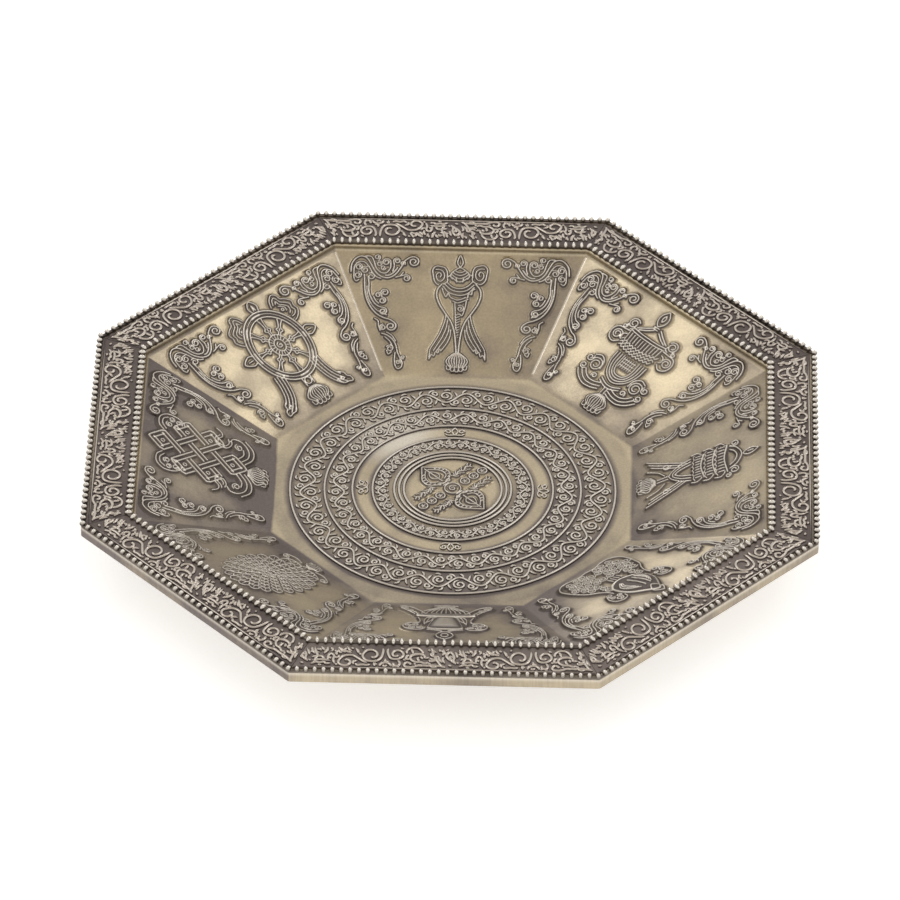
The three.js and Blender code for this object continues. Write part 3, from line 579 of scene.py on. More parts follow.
scroll_wire, given, add = tree_with("scroll_wire", wire_width="Float", wire_height="Float", seat="Float",
                                    crest_height="Float", finish="Material")
thick = add("GeometryNodeInputNamedAttribute", {"Name": "thick"}, data_type="FLOAT")["Attribute"]
curves = add("GeometryNodeMeshToCurve", {"Mesh": given["Path"]})[0]
curves = add("GeometryNodeSetCurveRadius", {"Curve": curves, "Radius": thick})[0]
curves = add("GeometryNodeSetCurveNormal", {"Curve": curves}, mode="Z_UP")[0]
section = add("GeometryNodeCurvePrimitiveCircle", {"Resolution": 8, "Radius": 0.5})["Curve"]
section_size = add("ShaderNodeCombineXYZ", {"X": given["wire_width"], "Y": given["wire_height"], "Z": 1.0})[0]
section = add("GeometryNodeTransform", {"Geometry": section, "Scale": section_size})[0]
wires = add("GeometryNodeCurveToMesh",
            {"Curve": curves, "Profile Curve": section, "Scale": thick, "Fill Caps": True})[0]
lift = lift_over(add, given["seat"])
rub = add("ShaderNodeMapRange", {0: lift, 1: metres(0.05), 2: given["crest_height"], 3: 0.0, 4: 1.0})[0]
grime = add("ShaderNodeMapRange", {0: rub, 1: 0.0, 2: 0.7, 3: 1.0, 4: 0.3})[0]
ended(scroll_wire, with_levels(add, wires, rub, grime), given["finish"])


def wire_paths(name, lines, height, tip=0.45):
    """Flat lines of (x, y) in mm, all at one height, as the path mesh of the scroll tree. Open ends taper."""
    points, edges, thick = [], [], []
    for line in lines:
        closed = np.allclose(line[0], line[-1])
        line = line[:-1] if closed else line
        first, count = len(points), len(line)
        points += [(x * MM, y * MM, height * MM) for x, y in line]
        edges += [(first + i, first + i + 1) for i in range(count - 1)]
        if closed:
            edges.append((first + count - 1, first))
        from_end = np.minimum(np.arange(count), np.arange(count)[::-1])
        thick += [1.0] * count if closed else np.clip(tip + from_end * 0.3, 0, 1).tolist()
    mesh = bpy.data.meshes.new(name)
    mesh.from_pydata(points, edges, [])
    set_levels(mesh, thick=thick)
    return mesh


def side_turned(points, side):
    """Points of (x along a side, distance from the middle) turned to their side of the dish."""
    return np.c_[from_side(side, *np.transpose(points))]


def joined(name, *pieces):
    """Several mesh objects as one."""
    with bpy.context.temp_override(active_object=pieces[0], selected_editable_objects=list(pieces)):
        bpy.ops.object.join()
    pieces[0].name = pieces[0].data.name = name
    return pieces[0]


dark_brass = brass("dark_brass", STRIP_GROUND, STRIP_DARK, STRIP_WORN, 0.36, 0.52)
strip_section = [(STRIP_IN, RIM_TOP), (STRIP_IN, STRIP_TOP - STRIP_ROUND),
                 (STRIP_IN + STRIP_ROUND, STRIP_TOP), (STRIP_OUT - STRIP_ROUND, STRIP_TOP),
                 (STRIP_OUT, STRIP_TOP - STRIP_ROUND), (STRIP_OUT, RIM_TOP)]
for side, direction in enumerate(DIRECTIONS):
    name = f"border_strip_{direction}"
    corners = []
    for end in (-1, 1):
        flats = [(end * (flat * HALF_SIDE - MITRE_GAP), flat) for flat, _ in strip_section]
        corners.append(np.c_[side_turned(flats, side), [height for _, height in strip_section]])
    count = len(strip_section)
    strip_faces = [(i, (i + 1) % count, count + (i + 1) % count, count + i) for i in range(count)]
    strip_faces += [tuple(range(count))[::-1], tuple(range(count, 2 * count))]
    strip_mesh = bpy.data.meshes.new(name)
    strip_mesh.from_pydata((np.vstack(corners) * MM).tolist(), [], strip_faces)
    strip_mesh.materials.append(dark_brass)
    set_levels(strip_mesh, film=STRIP_FILM[side], crest=0)
    strip = added(name + "_ground", strip_mesh)
    lines = []
    for start in SCROLL_REPEATS:
        for tenths in SCROLLWORK:
            line = drawn(*tenths, steps=4) + (start, 0)
            kept = line[np.abs(line[:, 0]) < line[:, 1] * HALF_SIDE - SCROLL_GAP]
            if len(kept) > 2:
                lines.append(side_turned(kept, side))
    half = OUTER_LINE * HALF_SIDE - 0.4
    edge_line = side_turned([(x, OUTER_LINE) for x in np.linspace(-half, half, 9)], side)
    sizes = {"wire_width": metres(SCROLL_WIDTH), "wire_height": metres(SCROLL_HEIGHT),
             "crest_height": metres(SCROLL_BRIGHT[side]), "seat": metres(STRIP_TOP), "finish": dark_brass}
    scrolls = made_by(scroll_wire, name + "_scrolls", wire_paths(name, lines, STRIP_TOP + 0.1), **sizes)
    sizes.update(wire_width=metres(EDGE_WIDTH), wire_height=metres(EDGE_HEIGHT),
                 crest_height=metres(EDGE_BRIGHT))
    edge = made_by(scroll_wire, name + "_edge", wire_paths(name, [edge_line], STRIP_TOP), **sizes)
    border = joined(name + "_chased", strip, scrolls, edge)
    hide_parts(name)
    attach(border, "root")

# Corner sprays: two on each wall, one the mirror image of the other, of rounded brass lines on a low ground
# with soft edges. They are drawn flat, raised line by line and laid on the slope of the wall.
GRID = 0.25
NEVER_NEAR = 9.0
SOFT_EDGE = 1.2
# The low ground round the lines: its height, how its edge climbs, and how deep its outside lies in the wall
PLATEAU = 0.3
LEAST_RISE = 0.02
RAMP_START, RAMP_STEEPNESS = 0.4, 1.9
SUNK = -0.05
LINE = 0.42
LINE_HEIGHT = 0.55
EMBEDDED = 0.14
ROUND_CREST = 1.3
# How much film is held between the lines, the darkening beside them as film and painted shade, and its reach
HELD = 0.97
HALO = 0.2
HALO_REACH = 2.2
# How close to the lines the film is held, wall by wall from the far one clockwise: 1 is only against them
# The far walls, lit most by the lamps, hold it closer and keep a fainter halo: painted light
CLOSE = [0.55, 0.5, 0.4, 0.35, 0.35, 0.35, 0.35, 0.55]
RELIEF_DARK = (0.125, 0.105, 0.096)
RELIEF_WORN = (0.74, 0.69, 0.61)


def curl(x, y, radius, start, turns, inner=0.3):
    """A spiral inwards from its outside end at an angle in degrees. Positive turns run anticlockwise."""
    count = max(5, int(abs(turns) * 12))
    angle = math.radians(start) + np.linspace(0, turns * math.tau, count + 1)
    reach = radius * np.linspace(1, inner, count + 1)
    return np.c_[x + reach * np.cos(angle), y + reach * np.sin(angle)]


def scroll(points, radius, turns, inner=0.25):
    """A smooth line whose far end winds up into a spiral."""
    line = through(points)
    heading = line[-1] - line[-2]
    left = np.array((-heading[1], heading[0])) / np.hypot(*heading) * (1 if turns > 0 else -1)
    middle = line[-1] + left * radius
    start = math.degrees(math.atan2(*(line[-1] - middle)[::-1]))
    return np.vstack([line, curl(*middle, radius, start, turns, inner)[1:]])


def sided(side, shift=0.0, lift=0.0):
    """A function that draws a smooth line from x,y pairs in tenths, on one side of x = shift."""
    return lambda *tenths: through(mm(*tenths) * (side, 1) + (shift, lift))


def beside(path, gap):
    """A line that keeps beside another, to its left where the gap is positive."""
    path = np.asarray(path, float)
    run = np.gradient(path, axis=0)
    run /= np.maximum(np.hypot(run[:, 0], run[:, 1]), 1e-9)[:, None]
    return path + np.c_[-run[:, 1], run[:, 0]] * gap


def blank(left, right, low, high):
    """A flat sheet in mm on which lines are raised."""
    x, y = np.meshgrid(np.arange(left, right, GRID), np.arange(low, high, GRID), indexing="ij")
    flat = {key: np.zeros(x.shape) for key in ("body", "rise", "crest")}
    return {"x": x, "y": y, "gap": np.full(x.shape, NEVER_NEAR), **flat}


def window(sheet, points, reach):
    """The part of a sheet that lies near some points."""
    corner = (sheet["x"][0, 0], sheet["y"][0, 0])
    low = ((np.min(points, axis=0) - reach - corner) / GRID).astype(int)
    high = ((np.max(points, axis=0) + reach - corner) / GRID).astype(int) + 2
    return tuple(slice(max(a, 0), max(b, 0)) for a, b in zip(low, high))


def distance(x, y, a, b):
    """How far places lie from one straight piece of line."""
    run = b - a
    t = np.clip(((x - a[0]) * run[0] + (y - a[1]) * run[1]) / max(run @ run, 1e-9), 0, 1)
    return np.hypot(x - a[0] - t * run[0], y - a[1] - t * run[1])


def press(sheet, *paths, half=LINE, height=LINE_HEIGHT, clear=0.0):
    """Raises rounded lines on a sheet. With clear they pass over what is there, with a gap beside them."""
    for path in paths:
        path = np.asarray(path, float)
        if clear:
            for a, b in zip(path[1:-1], path[2:-1]):
                part = window(sheet, (a, b), half + clear)
                away = distance(sheet["x"][part], sheet["y"][part], a, b)
                for key in ("rise", "crest"):
                    sheet[key][part] = np.where(away < half + clear, 0, sheet[key][part])
        for a, b in zip(path, path[1:]):
            part = window(sheet, (a, b), half + SOFT_EDGE + GRID)
            away = distance(sheet["x"][part], sheet["y"][part], a, b)
            bow = np.clip(1 - (away / half) ** 2, 0, 1)
            sheet["gap"][part] = np.minimum(sheet["gap"][part], away - half * 0.8)
            if height:
                sheet["rise"][part] = np.maximum(sheet["rise"][part], height * bow)
                sheet["crest"][part] = np.maximum(sheet["crest"][part], bow)


def spray():
    """The scrollwork of one corner, drawn for the right-hand one."""
    sheet = blank(13.5, 40, 1.2, 47.4)
    body = scroll(mm(372,394, 370,422, 358,444, 340,455, 320,449, 305,427, 290,398, 270,379, 245,373, 221,386,
                     202,414, 189,440, 172,454), 2.1, 1.55)
    press(sheet, body, beside(body[38:50], -0.95), half=0.46)
    press(sheet, drawn(362,388, 360,415, 346,433, 326,432, 310,413, 299,392, 284,376, 270,370))
    press(sheet, scroll(mm(324,456, 304,454, 294,434, 286,410, 269,393, 250,393, 238,412, 237,434),
                        1.5, -1.5, 0.3))
    press(sheet, curl(28.3, 45.2, 1.15, 240, -1.3, 0.35), curl(27.6, 42.7, 1.1, 60, 1.3, 0.35),
          curl(26.2, 41.2, 1.0, 200, 1.2, 0.35), half=0.36)
    press(sheet, scroll(mm(230,398, 225,418, 228,437), 1.25, 1.4, 0.3))
    press(sheet, scroll(mm(219,376, 202,381, 186,386), 1.35, 1.4, 0.3), drawn(203,382, 193,396),
          curl(19.6, 42.9, 0.9, 200, -1.2), half=0.4)
    press(sheet, curl(34.6, 41.4, 1.4, 80, 1.4, 0.3), curl(32.4, 40.2, 1.4, 120, -1.4, 0.3),
          curl(34.8, 38.2, 1.4, 90, 1.4, 0.3), curl(30.3, 37.7, 1.4, 60, 1.3, 0.3),
          drawn(362,388, 361,369, 353,358, 344,364), half=0.38)
    tendril = scroll(mm(326,384, 324,352, 322,320, 314,286, 299,256, 279,233, 255,219, 235,213, 219,202),
                  1.9, 1.5)
    press(sheet, tendril, half=0.46)
    press(sheet, scroll(mm(313,376, 309,348, 309,324, 303,300, 290,276, 273,262, 256,258), 1.45, 1.5),
          half=0.44)
    press(sheet, drawn(316,340, 313,306, 302,276, 284,252, 264,238, 246,230), half=0.36)
    press(sheet, curl(25.4, 31.6, 1.5, 320, 1.4), curl(27.6, 30.6, 1.2, 200, -1.3),
          curl(26.2, 28.5, 1.35, 80, 1.4), drawn(292,299, 284,284, 274,274))
    press(sheet, drawn(286,216, 274,206, 272,188, 266,170), curl(25.7, 18.2, 1.2, 90, -1.4, 0.3), half=0.4)
    tail = drawn(260,159, 241,152, 223,136, 211,114, 205,88, 196,66, 188,48, 191,31, 203,25, 212,39, 214,62,
                 213,86)
    press(sheet, tail)
    press(sheet, drawn(249,146, 232,129, 222,109), drawn(244,164, 226,152, 212,130),
          curl(23.1, 10.2, 1.35, 30, 1.4), drawn(242,94, 236,80, 226,88), curl(20.1, 4.9, 0.95, 200, -1.3),
          curl(18.5, 6.9, 0.75, 260, 1.1), half=0.38)
    return sheet


def soft(share):
    share = np.clip(share, 0, 1)
    return share * share * (3 - 2 * share)


def laid(name, sheet, place, film_and_shade_at, close=0.55, flipped=False):
    """A closed mesh object from a sheet, laid where place(x, y, rise) says."""
    x, y = (-sheet["x"] if flipped else sheet["x"]), sheet["y"]
    live = sheet["gap"] < SOFT_EDGE
    kept = live[:-1, :-1] | live[1:, :-1] | live[1:, 1:] | live[:-1, 1:]
    kept[0, :] = kept[-1, :] = kept[:, 0] = kept[:, -1] = False
    for _ in range(3):
        one = kept[:-1, :-1] & kept[1:, 1:] & ~kept[1:, :-1] & ~kept[:-1, 1:]
        two = kept[1:, :-1] & kept[:-1, 1:] & ~kept[:-1, :-1] & ~kept[1:, 1:]
        kept[1:, :-1] |= one
        kept[:-1, :-1] |= two
    reach = 1 - sheet["gap"] / SOFT_EDGE
    ground = LEAST_RISE + PLATEAU * soft((reach - RAMP_START) * RAMP_STEEPNESS)
    rise = np.where(live, ground + sheet["body"] + sheet["rise"], SUNK)
    across = y.shape[1]
    i, j = np.nonzero(kept)
    a = i * across + j
    tops = np.c_[a, a + across, a + across + 1, a + 1]
    used, order = np.unique(tops, return_inverse=True)
    order = order.reshape(tops.shape)
    count = len(used)
    walls = []
    padded = np.pad(kept, 1)
    middle = padded[1:-1, 1:-1]
    for (first, second), beyond in (((0, 1), padded[1:-1, :-2]), ((1, 2), padded[2:, 1:-1]),
                                    ((2, 3), padded[1:-1, 2:]), ((3, 0), padded[:-2, 1:-1])):
        edge = (middle & ~beyond)[i, j]
        u, v = order[edge, first], order[edge, second]
        walls.append(np.c_[v, u, u + count, v + count])
    faces = np.vstack([order, order[:, ::-1] + count] + walls)
    if flipped:
        faces = faces[:, ::-1]
    flat_x, flat_y = x.ravel()[used], y.ravel()[used]
    points = np.vstack([place(flat_x, flat_y, rise.ravel()[used]), place(flat_x, flat_y, -EMBEDDED)]) * MM
    mesh = bpy.data.meshes.new(name)
    mesh.vertices.add(len(points))
    mesh.vertices.foreach_set("co", points.astype(np.float32).ravel())
    mesh.loops.add(faces.size)
    mesh.loops.foreach_set("vertex_index", faces.ravel().astype(np.int32))
    mesh.polygons.add(len(faces))
    mesh.polygons.foreach_set("loop_start", np.arange(0, faces.size, 4, dtype=np.int32))
    mesh.update(calc_edges=True)
    # The ground round the lines is darker by the halo, film and painted shade, and holds most film close to
    # them
    ground = np.clip(film_and_shade_at(flat_x, flat_y) + HALO, 0, HELD)
    between = ground + (HELD - ground) * soft((reach.ravel()[used] - close) / (1 - close) * 1.1)
    set_levels(mesh, crest=np.r_[sheet["crest"].ravel()[used] ** ROUND_CREST, np.zeros(count)],
               film=np.r_[between, between])
    mesh.polygons.foreach_set("use_smooth", [True] * len(faces))
    mesh.materials.append(relief_brass)
    return added(name, mesh)


def darkened(side, sheet, flipped=False):
    """Darkens the pan close beside a relief: film, as where a cloth can't reach, and painted shade."""
    x, flat = to_side(side, pan_x, pan_y)
    up = (flat - FLOOR_EDGE) / math.cos(WALL_SLOPE)
    near_slope = np.abs(pan_z - FLOOR_TOP - up * math.sin(WALL_SLOPE)) < 0.8
    on_slope = np.nonzero((np.abs(x) <= flat * HALF_SIDE) & (up > 0) & (up < WALL_LENGTH) & near_slope)[0]
    x = -x[on_slope] if flipped else x[on_slope]
    places = tuple(np.argwhere(sheet["gap"][::3, ::3] < 0.5).T * 3)
    outline = np.c_[sheet["x"][places], sheet["y"][places]]
    away = np.sqrt(((np.c_[x, up[on_slope]][:, None, :] - outline[None]) ** 2).sum(2).min(1))
    # Painted shade and film: the halo is fainter on the walls that the lamps light most
    halo = HALO * (1.3 - CLOSE[side]) * np.exp(-np.maximum(away - 1.0, 0) / HALO_REACH)
    pan_film_and_shade[on_slope] = np.minimum(pan_film_and_shade[on_slope] + halo, 1)
    set_levels(pan_mesh, film=pan_film_and_shade)


def on_wall(node, side, sheet, flipped=False):
    """Lays a sheet on a wall in place of its plain node."""
    place, film_and_shade_at = functools.partial(wall_place, side), functools.partial(film_and_shade_on_wall, side)
    piece = laid(node + "_chased", sheet, place, film_and_shade_at, CLOSE[side], flipped)
    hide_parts(node)
    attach(piece, "root")
    darkened(side, sheet, flipped)


relief_brass = brass("relief_brass", GROUND_BRASS, RELIEF_DARK, RELIEF_WORN, 0.32, 0.5)
spray_sheet = spray()
for side, direction in enumerate(DIRECTIONS):
    on_wall(f"spray_{direction}_right", side, spray_sheet)
    on_wall(f"spray_{direction}_left", side, spray_sheet, flipped=True)

# Parasol, on the far wall: a flaming jewel over a canopy with swags and bows, a twisted pole between two
# ribbons, and a bud at its foot. It is brass, drawn and raised as the sprays are, and laid on its wall.
def mirrored(*paths):
    """Paths, each followed by its mirror image about x = 0."""
    return [p for path in paths for p in (np.asarray(path, float), np.asarray(path, float) * (-1, 1))]


def ring(x, y, across, up, count=36):
    """A closed oval."""
    angle = np.linspace(0, math.tau, count + 1)
    return np.c_[x + across * np.cos(angle), y + up * np.sin(angle)]


def swell(sheet, outline, height=0.5, shoulder=2.0, crest=0.45):
    """Raises a domed body inside a closed outline."""
    outline = np.asarray(outline, float)
    if not np.allclose(outline[0], outline[-1]):
        outline = np.vstack([outline, outline[:1]])
    part = window(sheet, outline, SOFT_EDGE + GRID)
    x, y = sheet["x"][part], sheet["y"][part]
    inside = np.zeros(x.shape, bool)
    edge = np.full(x.shape, NEVER_NEAR)
    for a, b in zip(outline, outline[1:]):
        crosses = (a[1] > y) != (b[1] > y)
        inside ^= crosses & (x < a[0] + (y - a[1]) * (b[0] - a[0]) / (b[1] - a[1] + 1e-12))
        edge = np.minimum(edge, distance(x, y, a, b))
    bow = np.where(inside, np.sqrt(1 - (1 - np.clip(edge / shoulder, 0, 1)) ** 2), 0)
    sheet["gap"][part] = np.minimum(sheet["gap"][part], np.where(inside, -edge, edge))
    sheet["body"][part] = np.maximum(sheet["body"][part], height * bow)
    sheet["crest"][part] = np.maximum(sheet["crest"][part], crest * bow)


def bulb(sheet, x, y, across, up, ribs=4):
    """A round lotus bud: a domed body with ribs from its top to its foot, over a row of small petals."""
    swell(sheet, ring(x, y, across * 0.92, up * 0.92), 0.45, up * 0.7, 0.2)
    for share in np.linspace(-1, 1, 2 * ribs + 1):
        press(sheet, through([(x + share * across * 0.3, y + up * 0.85),
                              (x + share * across * 0.97, y + up * 0.1),
                              (x + share * across * 0.62, y - up * 0.62)]), half=0.36, height=0.4)
    for share in np.linspace(-0.75, 0.75, 5):
        foot = x + share * across
        low = y - up * (0.98 - 0.35 * share * share)
        press(sheet, through([(foot - across * 0.2, low + up * 0.36), (foot - across * 0.12, low),
                              (foot + across * 0.12, low), (foot + across * 0.2, low + up * 0.36)]),
              half=0.34, height=0.5)


def parasol():
    sheet = blank(-13, 13, 1.2, 47.5)
    lens = drawn(0,420, 9,434, 7,450, 1,465)
    press(sheet, *mirrored(lens), half=0.4)
    press(sheet, *mirrored(drawn(0,419, 15,410, 29,396, 32,384, 26,374)))
    for half, ends, low in ((1.5, 40.5, 39.9), (2.3, 39.8, 38.8), (2.7, 39.0, 37.6), (2.6, 37.9, 36.3)):
        press(sheet, through([(-half, ends), (-half * 0.55, (ends + 2 * low) / 3), (0, low),
                              (half * 0.55, (ends + 2 * low) / 3), (half, ends)]), half=0.38)
    press(sheet, mm(-13,376, -11,362), mm(12,376, 10,362), half=0.36)
    for side, lift in ((-1, 0.0), (1, 0.5)):
        out = sided(side, 0, lift)
        press(sheet, out(34,386, 43,380, 42,366, 54,354, 72,350, 86,364, 91,386, 93,408, 82,422, 66,421,
                         52,416, 44,400, 43,380))
        press(sheet, out(82,409, 71,410, 59,403, 53,388, 56,372, 68,364, 79,374, 80,390, 70,398, 64,388,
                         68,379), half=0.4)
    press(sheet, drawn(-43,360, -24,343, 0,337, 23,344, 43,363),
          drawn(-51,353, -28,332, 0,325, 27,332, 48,352), drawn(-57,346, -37,322, 0,311, 29,320, 49,342),
          half=0.4)
    press(sheet, drawn(-60,338, -54,318, -46,304, -39,318, -32,305, -24,298, steps=3),
          drawn(52,336, 43,330, 41,314, 30,318, 28,302, 19,304, steps=3), drawn(-26,301, -6,293, 19,302),
          drawn(-22,289, -6,282, 12,288, 29,296), drawn(24,288, 20,264, 11,234, 3,238), half=0.38)
    press(sheet, curl(0.4, 26.0, 1.4, 120, -1.6, 0.15), drawn(-15,280, -13,250, -12,224, -9,174, -5,134),
          half=0.36)
    for y in np.arange(14.4, 23.8, 1.0):
        wide = 0.28 + (y - 14.4) * 0.055
        press(sheet, [(-0.45 - wide, y), (-0.45 + wide, y + 0.55)], half=0.32, height=0.6)
    for side in (-1, 1):
        out = sided(side, -0.25)
        press(sheet, out(58,354, 72,334, 75,308, 65,276, 45,242, 25,210, 13,174, 7,132, 4,92), half=0.48,
              clear=0.15)
        press(sheet, out(41,234, 46,206, 60,164, 80,124, 92,100, 95,66),
              out(35,216, 40,184, 52,150, 70,116, 81,96), out(30,194, 32,170, 44,138, 62,109, 72,92),
              out(24,178, 26,152, 36,126, 50,104, 56,96), out(95,64, 87,82, 79,76, 74,92, 65,88, 61,102,
              54,98), half=0.36)
    bulb(sheet, -0.3, 5.6, 3.7, 3.8)
    return sheet


on_wall("symbol_parasol", 0, parasol())

# Canopy vase: a jewel on a bail over a pleated canopy, a ribbed vessel between curling ribbons, and a bud.
# Its brass lines are raised on a sheet and laid on the wall to the right of the parasol's.
def canopy_vase():
    sheet = blank(-15, 17, 1.2, 47.5)
    press(sheet, drawn(-9,468, -26,444, -25,420, -9,402, 8,420, 8,444, -9,468),
          drawn(-9,450, -15,436, -9,422, -3,436, -9,450), half=0.44)
    press(sheet, mm(-20,396, 4,396), mm(-18,387, 2,387), half=0.4)
    for side in (-1, 1):
        out = sided(side, 0.4 if side > 0 else 0)
        press(sheet, out(10,394, 36,376, 66,359), out(10,382, 34,366, 56,356), half=0.48)
        for d, y, radius, turn, way in ((9.2, 36.6, 2.2, 60, -1.7), (11.4, 34.4, 1.0, 20, 1.2),
                                        (11.6, 30.4, 2.1, 100, -1.7), (9.4, 17.0, 2.7, -60, 1.8),
                                        (12.9, 18.2, 1.5, 40, 1.3), (12.9, 14.6, 1.4, 120, 1.3),
                                        (6.8, 13.3, 1.2, -120, 1.2)):
            press(sheet, curl(side * d + 0.4, y, radius, 90 + side * turn, side * way), half=0.44)
        press(sheet, out(76,336, 100,334, 128,330, 140,308, 132,282, 108,272, 88,286),
              out(80,322, 92,316, 96,300, 88,294), out(78,364, 74,348, 86,342), half=0.48)
        press(sheet, out(18,99, 46,90, 80,89, 112,104, 134,126),
              out(18,111, 48,102, 78,102, 102,114, 120,132), out(22,124, 46,116, 70,115, 92,124, 108,140),
              out(64,164, 70,192, 92,208, 116,200), half=0.46)
    swell(sheet, mm(-82,350, 76,346, 80,304, 64,276, -62,278, -80,306), 0.35, 2.5, 0.1)
    press(sheet, drawn(-82,354, -40,349, 0,347, 40,347, 76,350),
          drawn(-83,343, -40,337, 0,335, 40,335, 77,339))
    for pleat in range(12):
        x = -7.6 + pleat * 1.35
        sag = 0.014 * x * x
        press(sheet, [(x, 32.8 + sag), (x * 0.96, 29.8 + sag)], half=0.4)
    for drop in (0.0, 1.2, 2.4):
        hem = []
        for i in range(22 - int(drop)):
            zigzag = 0.4 if i % 2 else -0.4
            sag = 0.02 * (i * 0.79 - 8.4) ** 2
            hem.append((i * 0.7888 - 8.4 + drop * 0.18, 28.9 - drop + zigzag + sag))
        press(sheet, through(hem, 3))
    for inset in (0, 1.15, 2.3, 3.4):
        press(sheet, through([(-6.0 + inset, 25.2), (-5.6 + inset * 0.9, 20.8),
                              (-3.4 + inset * 0.6, 16.6 + inset * 0.5), (0.8, 14.6 + inset * 0.9),
                              (5.0 - inset * 0.6, 16.6 + inset * 0.5), (7.2 - inset * 0.9, 20.8),
                              (7.6 - inset, 25.2)]), half=0.43)
    for x in np.arange(-1.9, 3.8, 0.95):
        press(sheet, [(x, 24.9), (x, 20.6)], half=0.3, height=0.3)
    for y in (24.2, 22.9, 21.6):
        press(sheet, [(-2.0, y), (3.6, y)], half=0.3, height=0.3)
    for drop in (0, 1.1):
        press(sheet, through([(-3.6, 14.4 - drop), (-1.0, 13.3 - drop), (0.9, 13.0 - drop),
                              (2.8, 13.3 - drop), (5.2, 14.4 - drop)]), half=0.46)
    for x in (0.3, 1.6):
        press(sheet, [(x, 12), (x, 9.4)])
    bulb(sheet, 1.6, 5.6, 4.3, 3.9)
    return sheet


on_wall("symbol_canopy_vase", 1, canopy_vase())

# Victory banner: a jewel and an arch over three pleated tiers, an apron and streamers, and a bud at its foot.
# Its brass lines are raised on a sheet and laid on the right-hand wall.
def victory_banner():
    sheet = blank(-14, 15, 1.2, 47.5)
    press(sheet, drawn(-30,454, -40,430, -32,408, -20,400, -10,416, -15,436, -30,454),
          drawn(-27,436, -26,416), half=0.44)
    press(sheet, drawn(-80,350, -64,376, -24,394, 18,378, 36,352),
          drawn(-62,352, -48,368, -24,377, 2,369, 18,353), half=0.48)
    press(sheet, curl(-9.0, 36.8, 1.7, 300, 1.4), curl(4.8, 36.8, 1.9, 230, -1.4),
          curl(6.9, 34.6, 1.2, 160, -1.2), half=0.46)
    for top, foot in ((34.0, 30.2), (29.8, 26.2), (25.6, 22.0)):
        wide = 7.0 - (34.0 - top) * 0.12
        swell(sheet, [(-2.0 - wide, top), (-2.0 + wide, top), (-1.6 + wide, foot), (-2.4 - wide, foot)],
              0.4, 1.4, 0.1)
        press(sheet, through([(-2.0 - wide, top + 0.2), (-2.0, top - 0.7), (-2.0 + wide, top + 0.4)]),
              half=0.48)
        for share in np.linspace(-0.88, 0.88, 9):
            x = -2.0 + share * wide
            press(sheet, [(x, top - 0.9 + 0.5 * share * share), (x + 0.1, foot + 0.9)], half=0.38,
                  height=0.45)
        hem = [(-2.0 + share * (wide + 0.4), foot + 0.2 - (0.55 if i % 2 else 0) + 0.5 * share * share)
               for i, share in enumerate(np.linspace(-1, 1, 13))]
        press(sheet, through(hem, 4))
    for side in (-1, 1):
        out = sided(side, -2)
        press(sheet, out(68,336, 86,320, 83,298), out(64,294, 80,278, 78,256), out(60,252, 74,234, 70,214),
              sided(side, -1)(20,118, 46,94, 66,54), curl(-1 + side * 6.4, 12.4, 1.5, 90, side * 1.3),
              half=0.44)
        for inset in (0, 1.4, 2.8):
            press(sheet, through([(-2 + side * (5.6 - inset), 21.2), (-2 + side * (4.4 - inset), 17.6),
                                  (-2 + side * (1.9 - inset * 0.6), 14.4 + inset * 0.4), (-2, 13.2 + inset)]),
                  half=0.44)
        for inset in (0, 1.3, 2.6):
            press(sheet, through([(-1.6 + side * (4.6 - inset * 0.3), 19.6 - inset),
                                  (-1.2 + side * (7.2 - inset), 14.8), (-1.0 + side * (9.6 - inset), 9.6),
                                  (-1.0 + side * (11.8 - inset * 1.3), 5.2 + inset * 0.6)]), half=0.46)
    for x in (-2.2, -0.8):
        press(sheet, [(x, 13), (x + 0.4, 9)], half=0.4)
    bulb(sheet, -1.0, 5.3, 3.9, 3.7)
    return sheet


on_wall("symbol_victory_banner", 2, victory_banner())

